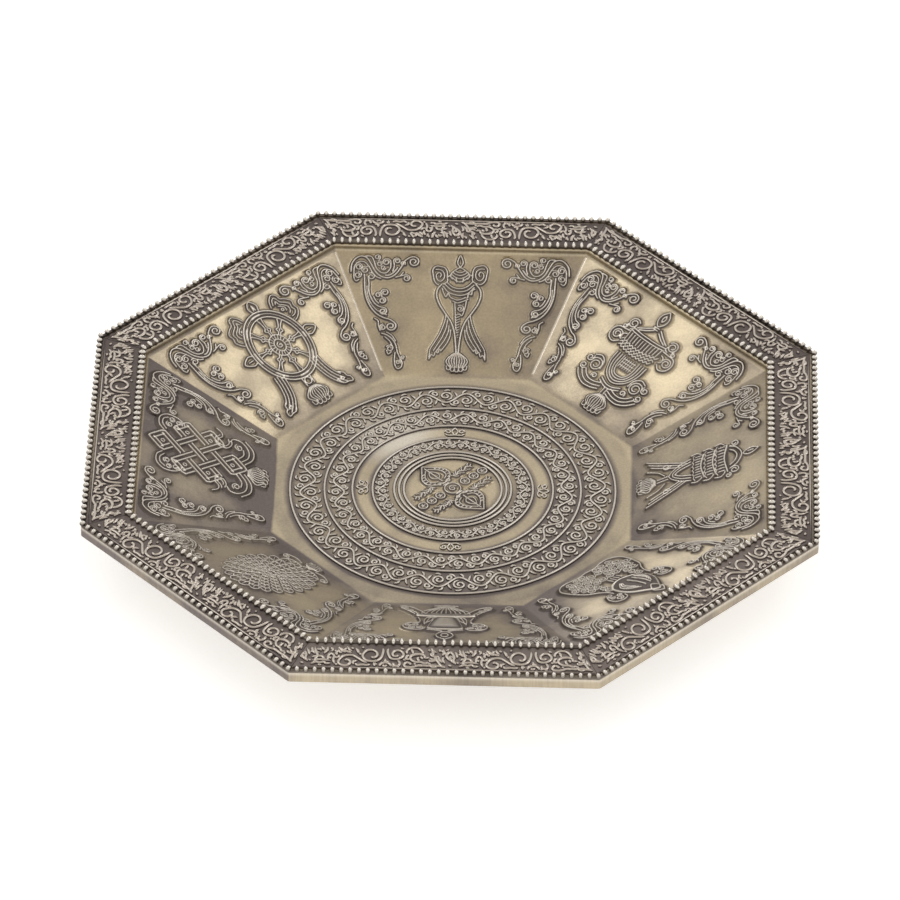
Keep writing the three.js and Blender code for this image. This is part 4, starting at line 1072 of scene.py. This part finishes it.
# Conch: a domed brass shell with a flame over it, ribbons at its sides and waves under it.
# It is raised on a sheet as the sprays are, and laid on the near right-hand wall.
def conch():
    sheet = blank(-15.5, 15.5, 1.2, 45.5)
    shell = drawn(2,416, -26,380, -52,336, -62,286, -46,242, 6,214, 58,242, 68,286, 58,336, 30,380,
                  closed=True)
    swell(sheet, shell, 0.95, 4.0, 0.5)
    press(sheet, shell, half=0.5)
    press(sheet, drawn(2,440, -16,414, -12,394, 3,378, 18,394, 20,414, 2,440), half=0.44)
    for x in (-1.5, 0.6):
        press(sheet, through([(x, 35.4), (x - 0.4, 31.0), (x, 26.0)]), half=0.46, height=0.5)
    for inset in (0, 1.2, 2.4):
        press(sheet, through([(2.4 + inset * 0.2, 35.0 - inset), (4.8 - inset * 0.5, 31.6 - inset * 0.4),
                              (5.4 - inset * 0.7, 28.0), (3.4 - inset * 0.2, 25.2 + inset * 0.4)]),
              through([(-2.6 - inset * 0.1, 34.4 - inset), (-4.4 + inset * 0.4, 31.2),
                       (-4.6 + inset * 0.6, 27.8), (-3.2 + inset * 0.2, 25.4)]), half=0.4, height=0.4)
    press(sheet, drawn(-46,236, -18,216, 12,211, 42,222, 64,246), half=0.6, height=0.7)
    for x in (-2.4, -1.1, 0.2, 1.5):
        press(sheet, [(x, 19.8), (x + 0.1, 16.9)])
    press(sheet, *mirrored(curl(10.0, 32.4, 1.5, 60, 1.4), curl(11.2, 30.2, 1.1, 300, -1.2),
                           curl(8.6, 30.4, 1.0, 120, 1.2), curl(10.4, 27.6, 1.3, 60, -1.3)))
    press(sheet, *mirrored(drawn(74,320, 82,342, 106,350, 126,334, 128,304, 118,280)), half=0.44)
    press(sheet, *mirrored(drawn(84,274, 86,244, 98,214, 118,184, 130,144, 136,104, 134,62, 110,34, 76,30,
                                 40,42, 0,36)), half=0.48)
    for row, (y, wide) in enumerate(((23.2, 6.6), (20.4, 8.2), (17.4, 9.6), (14.4, 10.8), (11.4, 11.6),
                                     (8.4, 11.8), (5.6, 10.6))):
        start = 5.2 if row < 3 else (0 if row % 2 else 1.5)
        for x in np.arange(start + 1.4, wide + 0.6, 2.9):
            turn = 1.3 if (row + int(x)) % 2 else -1.3
            press(sheet, *mirrored(curl(x, y, 1.35, 90 + 50 * turn, turn)), half=0.4)
            press(sheet, *mirrored(through([(x - 1.4, y + 0.6), (x - 0.2, y + 1.7), (x + 1.4, y + 1.1)], 3)),
                  half=0.36)
    return sheet


on_wall("symbol_conch", 3, conch())

# Treasure vase: a domed brass belly with a jewel, a collar and a foot of petals, between two ribbons.
# It is raised on a sheet as the sprays are, and laid on the near wall.
def treasure_vase():
    sheet = blank(-16.5, 17, 1.2, 43)
    press(sheet, drawn(5,414, -18,386, -22,360, -10,336, 5,328, 20,336, 32,360, 28,386, 5,414),
          ring(0.5, 36.6, 1.2, 1.9, 14), half=0.44)
    for side in (-1, 1):
        out = sided(side, 0.5)
        press(sheet, out(10,326, 30,312, 58,304), out(10,314, 34,300, 54,294), half=0.44)
        for d, y, radius, turn in ((11.0, 28.4, 1.5, -60), (8.4, 28.2, 1.2, 60), (12.2, 25.6, 1.2, 20),
                                   (9.6, 25.2, 1.4, 150), (13.4, 6.0, 1.2, 20), (11.6, 8.6, 1.1, -60)):
            press(sheet, curl(0.5 + side * d, y, radius, 90 + side * turn, side * 1.4))
        press(sheet, out(66,288, 80,304, 108,306, 132,286, 136,254, 116,232, 88,228, 82,202, 90,166),
              half=0.48)
        for inset in (0, 11, 22):
            press(sheet, out(68 - inset * 0.4,244 - inset, 69 - inset,204, 62 - inset,174,
                             48 - inset * 0.8,162))
        wing = out(88,134, 102,106, 124,74, 150,44)
        press(sheet, wing, out(66,126, 84,92, 106,60, 126,44, 146,40), beside(wing[:14], side * 1.0)[2:],
              half=0.48)
    body = drawn(-48,290, -49,260, -40,216, -26,174, 5,166, 36,174, 50,216, 59,260, 58,290, 5,298,
                 closed=True)
    swell(sheet, body, 1.15, 4.0, 0.85)
    press(sheet, body, height=0.4)
    collar = ring(0.5, 14.4, 9.6, 1.5, 40)
    swell(sheet, collar, 0.75, 1.3, 0.7)
    press(sheet, collar, half=0.46, height=0.5)
    for share in np.linspace(-1, 1, 11):
        top, low = 0.5 + share * 8.2, 0.5 + share * 3.6
        press(sheet, through([(top, 12.6 + 0.8 * share * share), (0.5 + share * 7.0, 9.6), (low, 6.4)]),
              half=0.44, height=0.6)
    for y, half in ((5.6, 3.8), (4.4, 2.8), (3.2, 3.8)):
        press(sheet, through([(0.5 - half, y + 0.3), (0.5, y - 0.2), (0.5 + half, y + 0.3)]), half=0.46)
    return sheet


on_wall("symbol_treasure_vase", 4, treasure_vase())

# Lotus: rings of brass petals about a small middle, over a bud, on the near left-hand wall.
# Each petal is an outline and a rib, drawn from the outside inwards so that the middle stands highest.
def lotus():
    sheet = blank(-14.5, 14.5, 1.2, 46.5)
    rows = [(13.0, 18.6, 22, 3.2), (10.8, 15.8, 19, 3.0), (8.7, 12.9, 16, 2.8), (6.7, 10.2, 13, 2.6),
            (4.8, 7.4, 10, 2.3), (2.9, 4.7, 7, 1.9)]
    for number, (across, up, petals, size) in enumerate(rows):
        for i in range(petals):
            angle = math.tau * (i + 0.5 * (number % 2)) / petals + math.pi / 2
            tip = np.array((across * math.cos(angle), 25 + up * math.sin(angle)))
            foot = np.array(((across - size) * math.cos(angle), 25 + (up - size * 1.35) * math.sin(angle)))
            out = (tip - foot) / np.hypot(*(tip - foot))
            aside = np.array((-out[1], out[0])) * size * 0.55
            petal = through([foot + aside * 0.5, foot * 0.45 + tip * 0.55 + aside, tip,
                             foot * 0.45 + tip * 0.55 - aside, foot - aside * 0.5])
            press(sheet, petal, half=0.44, height=0.4 + 0.06 * number)
            press(sheet, [foot * 0.8 + tip * 0.2, foot * 0.25 + tip * 0.75], half=0.34,
                  height=0.3 + 0.06 * number)
    press(sheet, ring(0, 25, 1.6, 2.4, 16), curl(0, 25, 0.9, 0, 1.2), height=0.7)
    for side in (-1, 1):
        press(sheet, scroll(mm(34,62, 64,54, 94,66) * (side, 1), 1.5, side * 1.3), half=0.46)
        press(sheet, sided(side)(14,82, 46,78, 74,90))
    bulb(sheet, 0, 4.2, 2.9, 2.6, 3)
    return sheet


on_wall("symbol_lotus", 5, lotus())

# Endless knot: double brass strands that cross over and under, with bows above, ribbons below and a bud.
# It is on the left-hand wall. A strand that passes under stops short of the one over it.
def endless_knot():
    sheet = blank(-17, 20.5, 1.2, 47.4)
    def at(u, v):
        return np.array((2 + (u - v) * 4.2, 27.6 + (u + v) * 4.2))
    def cord(path):
        press(sheet, path, half=1.3, height=0)
        press(sheet, beside(path, 0.86), beside(path, -0.86), half=0.6, height=0.62)
    turns = [(-2, 0), (2, 0), (2, -1), (-2, -1), (-2, -2), (-1, -2), (-1, 2), (0, 2), (0, -2), (1, -2),
             (1, 2), (2, 2), (2, 1), (-2, 1), (-2, 0)]
    strands = [np.linspace(at(*a), at(*b), 12, endpoint=False) for a, b in zip(turns, turns[1:])]
    cord(np.vstack(strands + [[at(-2, 0)]]))
    for u in (-1, 0, 1):
        for v in (-1, 0, 1):
            run = np.array((4.2, 4.2)) if (u + v) % 2 == 0 else np.array((-4.2, 4.2))
            press(sheet, [at(u, v) + run * t for t in (-0.03, -0.02, 0.02, 0.03)], half=1.46, height=0,
                  clear=0.3)
            cord(np.array([at(u, v) + run * t for t in np.linspace(-0.56, 0.56, 10)]))
    for u, v in ((-1.5, -1.5), (1.5, 1.5), (-0.5, 1.5), (1.5, -0.5), (0.5, -1.5), (-1.5, 0.5)):
        press(sheet, ring(*at(u, v), 0.7, 0.7, 8), half=0.38, height=0.35)
    for side in (-1, 1):
        out = sided(side, 1.8)
        press(sheet, out(56,402, 80,420, 118,419, 142,394, 139,358, 120,332, 102,330), half=0.44)
        press(sheet, out(66,394, 88,408, 114,406, 128,389))
        for d, y, radius, turn in ((12.2, 37.6, 1.25, 60), (9.4, 38.4, 1.35, -60),
                                   (11.4, 35.0, 1.3, 150), (8.9, 35.8, 1.1, 20)):
            press(sheet, curl(1.8 + side * d, y, radius, 90 + side * turn, side * 1.4))
        press(sheet, out(30,122, 66,96, 106,98, 134,124, 136,152, 118,164),
              out(26,106, 64,80, 108,80, 144,110), out(40,134, 70,114, 96,115), half=0.48)
        press(sheet, curl(1.8 + side * 10.2, 13.2, 1.6, 90 - side * 60, side * 1.4), half=0.44)
        snake = out(126,172, 106,168, 86,182, 90,204, 112,208, 128,194, 146,196, 162,216)
        press(sheet, snake, beside(snake[2:-8], 1.0), half=0.44)
    bulb(sheet, 0.8, 6.0, 4.6, 4.0)
    return sheet


on_wall("symbol_endless_knot", 6, endless_knot())

# Wheel: a rim of rings and short strokes, eight knobbed spokes and a hub, with fans, ribbons and a bud.
# Its brass lines are raised on a sheet and laid on the far left-hand wall.
def wheel():
    sheet = blank(-17.5, 17.5, 1.2, 47.4)
    x, y = 0.3, 27.8
    for across, up, half in ((11.5, 14.4, 0.5), (10.4, 13.2, 0.3), (9.3, 11.9, 0.46), (3.6, 4.3, 0.42),
                             (1.9, 2.4, 0.38)):
        press(sheet, ring(x, y, across, up, 48), half=half)
    for i in range(8):
        angle = math.tau * i / 8 + math.pi / 2
        press(sheet, ring(x, y, 10.4, 13.2, 96)[12 * i + 22:12 * i + 28], half=0.75, height=0.5)
        along = np.array((math.cos(angle), math.sin(angle)))
        aside = np.array((-math.sin(angle), math.cos(angle)))
        def spoke(reach, off):
            return np.array((x, y)) + along * (reach, reach * 1.27) + aside * off
        for s in (-1, 1):
            press(sheet, through([spoke(3.7, s * 0.4), spoke(4.6, s * 0.45), spoke(5.3, s * 1.25),
                                  spoke(6.1, s * 0.45), spoke(7.6, s * 0.5), spoke(8.9, s * 0.8)]), half=0.4)
        press(sheet, [spoke(4.9, 0), spoke(5.7, 0)], height=0.6)
    for i in range(18):
        angle = math.tau * i / 18
        stroke = [(x + across * math.cos(angle), y + up * math.sin(angle))
                  for across, up in ((2.1, 2.6), (3.3, 4.0))]
        press(sheet, stroke, half=0.34, height=0.45)
    press(sheet, curl(x + 0.1, y, 1.3, 90, 1.2, 0.15))
    press(sheet, drawn(2,424, -4,446, 14,468, 32,446, 26,424), drawn(10,430, 14,452, 18,430, steps=3))
    for side in (-1, 1):
        press(sheet, sided(side, x)(116,292, 134,296, 160,276, 134,258, 116,262), half=0.44)
        press(sheet, [(side * 12.4 + x, 27.7), (side * 14.2 + x, 27.6)], half=0.4)
        for flame in (mm(60,408, 70,432, 90,449, 106,441, 111,423, 126,414, 142,397, 138,379, 142,362,
                         132,346, 118,334, 102,328),
                      mm(72,412, 80,429, 92,436, 99,426, 103,413, 117,403, 129,390, 126,375, 130,362,
                         120,350, 106,346),
                      mm(82,412, 90,422, 94,407, 108,396, 117,384, 115,370, 106,360),
                      mm(86,402, 96,396, 105,386, 102,374), ring(9.2, 38.4, 0.5, 0.5, 8)):
            leaf = through(flame * (side, 1) + (1.2, 0))
            press(sheet, leaf[((leaf - (x, y)) ** 2 / (12.1 ** 2, 15.0 ** 2)).sum(1) > 1], half=0.36)
        ribbon = through([(side * 7.9 - 0.6, 18.2), (side * 8.3 - 0.7, 14.2), (side * 9.5 - 0.8, 9.8),
                          (side * 11.6 - 0.9, 6.6), (side * 14.1 - 0.9, 4.7)])
        for off, last in ((-1.7, 17), (-0.6, 19), (0.6, 18), (1.7, 15)):
            press(sheet, beside(ribbon, side * off)[:last], half=0.4)
        press(sheet, sided(side, -0.6)(96,70, 110,47, 128,44, 144,40, 146,56, 136,66, 134,80, 118,94),
              curl(side * 11.9 - 0.8, 6.6, 0.9, 90, side * 1.2), half=0.4)
    press(sheet, ring(-0.2, 11.9, 1.2, 1.3, 14))
    for side in (-1, 1):
        press(sheet, [(side * 1.7 - 0.2, 13.6), (side * 1.6 - 0.2, 10.2)])
    bulb(sheet, -0.4, 6.2, 4.4, 3.9)
    return sheet


on_wall("symbol_wheel", 7, wheel())

# Floor rings: four round brass wires, half sunk in the floor, each bright on its crest and dark at its foot.
# The frame in the middle is three such wires close together.
RING_SHARES = [0.905, 0.713, 0.558, 0.446]
RING_WIDTH, RING_HEIGHT = 1.05, 0.6
FRAME_RADII = [19.5, 17.9, 16.3]
FRAME_WIDTH, FRAME_HEIGHT = 1.15, 0.65
RING_DARK = (0.11, 0.092, 0.085)
RING_WORN = (0.70, 0.65, 0.58)
ring_brass = brass("ring_brass", GROUND_BRASS, RING_DARK, RING_WORN, 0.32, 0.5)


def floor_wires(node, lines, wide, high, tip=0.45):
    """Wires that lie on the floor in place of a plain node."""
    path = wire_paths(node, lines, FLOOR_TOP + 0.05, tip)
    piece = made_by(scroll_wire, node + "_wires", path, wire_width=metres(wide), wire_height=metres(2 * high),
                    seat=metres(FLOOR_TOP), crest_height=metres(high), finish=ring_brass)
    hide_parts(node)
    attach(piece, "root")


def circle(radius, count=120):
    angle = np.linspace(0, math.tau, count + 1)
    return np.c_[radius * np.cos(angle), radius * np.sin(angle)]


for number, share in enumerate(RING_SHARES):
    floor_wires(f"floor_ring_{number + 1}", [circle(share * FLOOR_EDGE)], RING_WIDTH, RING_HEIGHT)
floor_wires("medallion_frame", [circle(radius) for radius in FRAME_RADII], FRAME_WIDTH, FRAME_HEIGHT)

# Vine bands: a running vine, with a curl in every bend and short leaves beside it, fills each of three bands.
# It is plain ornament of thin brass wires, laid on the floor between the rings and dark at their feet.
VINE_HEIGHT = 0.5


def wound(line, radius):
    """A strip of (along, out) wound round the floor so that along = radius times the angle, clockwise."""
    angle = math.pi / 2 - line[:, 0] / radius
    return np.c_[(radius + line[:, 1]) * np.cos(angle), (radius + line[:, 1]) * np.sin(angle)]


def vine(radius, band, waves):
    """The lines of one vine: its stem, its curls and its leaves."""
    length = math.tau * radius / waves
    swing = band * 0.26
    along = np.linspace(0, math.tau * radius, waves * 16 + 1)
    lines = [wound(np.c_[along, swing * np.sin(math.tau * along / length)], radius)]
    for bend in range(2 * waves):
        sign = 1 if bend % 2 == 0 else -1
        crown = (bend + 0.5) * length / 2
        parts = [curl(crown, -sign * band * 0.12, band * 0.25, sign * 100, -sign * 1.6, 0.15),
                 through([(crown - length * 0.05, -sign * band * 0.37),
                          (crown + length * 0.04, -sign * band * 0.45),
                          (crown + length * 0.12, -sign * band * 0.40)], 3),
                 through([(crown + length * 0.08, sign * swing * 0.95),
                          (crown + length * 0.15, sign * band * 0.40),
                          (crown + length * 0.28, sign * band * 0.45)], 3),
                 through([(crown - length * 0.12, sign * swing * 0.8),
                          (crown - length * 0.09, sign * band * 0.38),
                          (crown - length * 0.01, sign * band * 0.46)], 3),
                 curl(crown + length * 0.235, sign * band * 0.26, band * 0.13, sign * -120, sign * 1.2, 0.3),
                 through([(crown + length * 0.19, -sign * band * 0.36),
                          (crown + length * 0.25, -sign * band * 0.2),
                          (crown + length * 0.27, -sign * band * 0.06)], 3)]
        lines += [wound(part, radius) for part in parts]
    return lines


for name, radius, band, waves, wide in (("outer", 48.45, 9.4, 22, 1.0), ("middle", 38.05, 7.2, 20, 1.0),
                                        ("inner", 23.7, 4.6, 18, 0.8)):
    floor_wires(f"vine_band_{name}", vine(radius, band, waves), wide, VINE_HEIGHT, 0.5)

# Buds: four small sprigs in the bare ring, at the far side, the right, the near side and the left.
# Each is a leaf between two curls over a shallow bow, of thin brass wires that lie on the floor.
def turned(lines, angle, out):
    """Lines moved outwards, then turned by an angle about the middle of the dish."""
    c, s = math.cos(angle), math.sin(angle)
    return [np.c_[line[:, 0] * c - (line[:, 1] + out) * s, line[:, 0] * s + (line[:, 1] + out) * c]
            for line in lines]


BUD_RADIUS = 30.0
BUD_WIDTH, BUD_HEIGHT = 0.75, 0.5
sprig = [drawn(0,-16, -10,3, 0,20, 10,3, 0,-16), mm(0,-6, 0,9), curl(-2.3, 0.3, 1.15, 200, -1.2),
         curl(2.3, 0.3, 1.15, -20, 1.2), drawn(-34,-8, -20,-17, 0,-15, 20,-17, 34,-8, steps=4)]
for quarter, word in enumerate(["n", "e", "s", "w"]):
    lines = turned(sprig, -quarter * math.pi / 2, BUD_RADIUS)
    floor_wires(f"bud_{word}", lines, BUD_WIDTH, BUD_HEIGHT, 0.6)

# Vajra: two four-pronged heads and a round middle, of brass, laid across the middle of the floor.
# It runs from the upper left to the lower right, and is raised on a sheet as the symbols are.
def vajra():
    """The vajra, drawn along x."""
    sheet = blank(-16, 16, -7, 7)
    press(sheet, ring(0, 0, 2.7, 2.7, 20), half=0.46)
    press(sheet, curl(0, 0, 1.5, 90, 1.3, 0.2))
    for side in (-1, 1):
        for bow in (-1, 1):
            def out(*tenths):
                return through(mm(*tenths) * (side, bow))
            press(sheet, out(42,6, 48,30, 68,50, 96,48, 120,28, 149,1), half=0.46)
            press(sheet, out(56,14, 64,30, 80,36, 102,29, 126,6))
            press(sheet, out(70,5, 82,16, 98,13, 112,3), half=0.4)
            press(sheet, curl(side * 4.3, bow * 1.8, 0.8, 90, side * bow * 1.1), half=0.38)
            for x, y in ((5.4, 3.2), (6.5, 4.1), (7.8, 4.5), (9.1, 4.2), (10.3, 3.5), (11.4, 2.6)):
                press(sheet, [(side * x, bow * (y - 0.3)), (side * x, bow * (y + 0.3))], height=0.65)
        press(sheet, [(side * 5.0, 0), (side * 13.6, 0)])
        press(sheet, [(side * 3.1, -1.3), (side * 3.1, 1.3)], [(side * 3.9, -0.9), (side * 3.9, 0.9)],
              half=0.4)
    return sheet


def on_floor(angle, x=0.0, y=0.0):
    """Where the points of a sheet come to lie on the floor when it is moved, then turned by an angle."""
    def place(flat_x, flat_y, rise):
        return np.c_[(flat_x + x) * math.cos(angle) - (flat_y + y) * math.sin(angle),
                     (flat_x + x) * math.sin(angle) + (flat_y + y) * math.cos(angle),
                     FLOOR_TOP + rise + 0 * flat_x]
    return place


def floor_piece(node, sheet, place):
    """Lays a sheet on the floor in place of a plain node."""
    piece = laid(node + "_chased", sheet, place, lambda x, y: np.zeros(len(x)))
    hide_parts(node)
    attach(piece, "root")


floor_piece("vajra", vajra(), on_floor(-math.pi / 4))

# Roundels: three on each side of the vajra, each a small brass ring about a rosette of five petals.
# They are one raised sheet, laid on the floor six times, in a row across the vajra.
ROUNDEL_STEPS = [5.65, 9.6, 13.55]
roundel_sheet = blank(-2.8, 2.8, -2.8, 2.8)
press(roundel_sheet, ring(0, 0, 1.55, 1.55, 16))
for petal in range(5):
    angle = math.tau * petal / 5
    press(roundel_sheet, [(0.2 * math.cos(angle), 0.2 * math.sin(angle)),
                          (0.85 * math.cos(angle), 0.85 * math.sin(angle))], half=0.34, height=0.4)
for word, sign in (("right", 1), ("left", -1)):
    for number, step_out in enumerate(ROUNDEL_STEPS):
        floor_piece(f"roundel_{word}_{number + 1}", roundel_sheet, on_floor(math.pi / 4, sign * step_out))

# Twigs: a short brass twig with leaves lies on both sides of each row of roundels.
# Each is raised on a sheet of its own and laid on the floor, and points away from the middle.
TWIG_OFFSET = 4.6
for word, sign in (("right", 1), ("left", -1)):
    for number, flank in enumerate((1, -1)):
        twig_sheet = blank(2.6, 16, -2.4, 2.4)
        press(twig_sheet, drawn(42,5, 58,-4, 74,5, 90,-4, 106,5, 120,-1, 130,4), half=0.44)
        for bend, x in enumerate(np.arange(4.6, 12.6, 1.35)):
            up = 1 if bend % 2 else -1
            press(twig_sheet, through([(x, 0.1 * up), (x + 0.5, 1.0 * up), (x + 1.2, 1.3 * up)], 3),
                  half=0.38)
            press(twig_sheet, [(x + 0.7, -0.3 * up), (x + 1.0, -1.0 * up)], half=0.36)
        floor_piece(f"twig_{word}_{number + 1}", twig_sheet,
                    on_floor(math.pi / 4 + (0 if sign > 0 else math.pi), 0, sign * flank * TWIG_OFFSET))
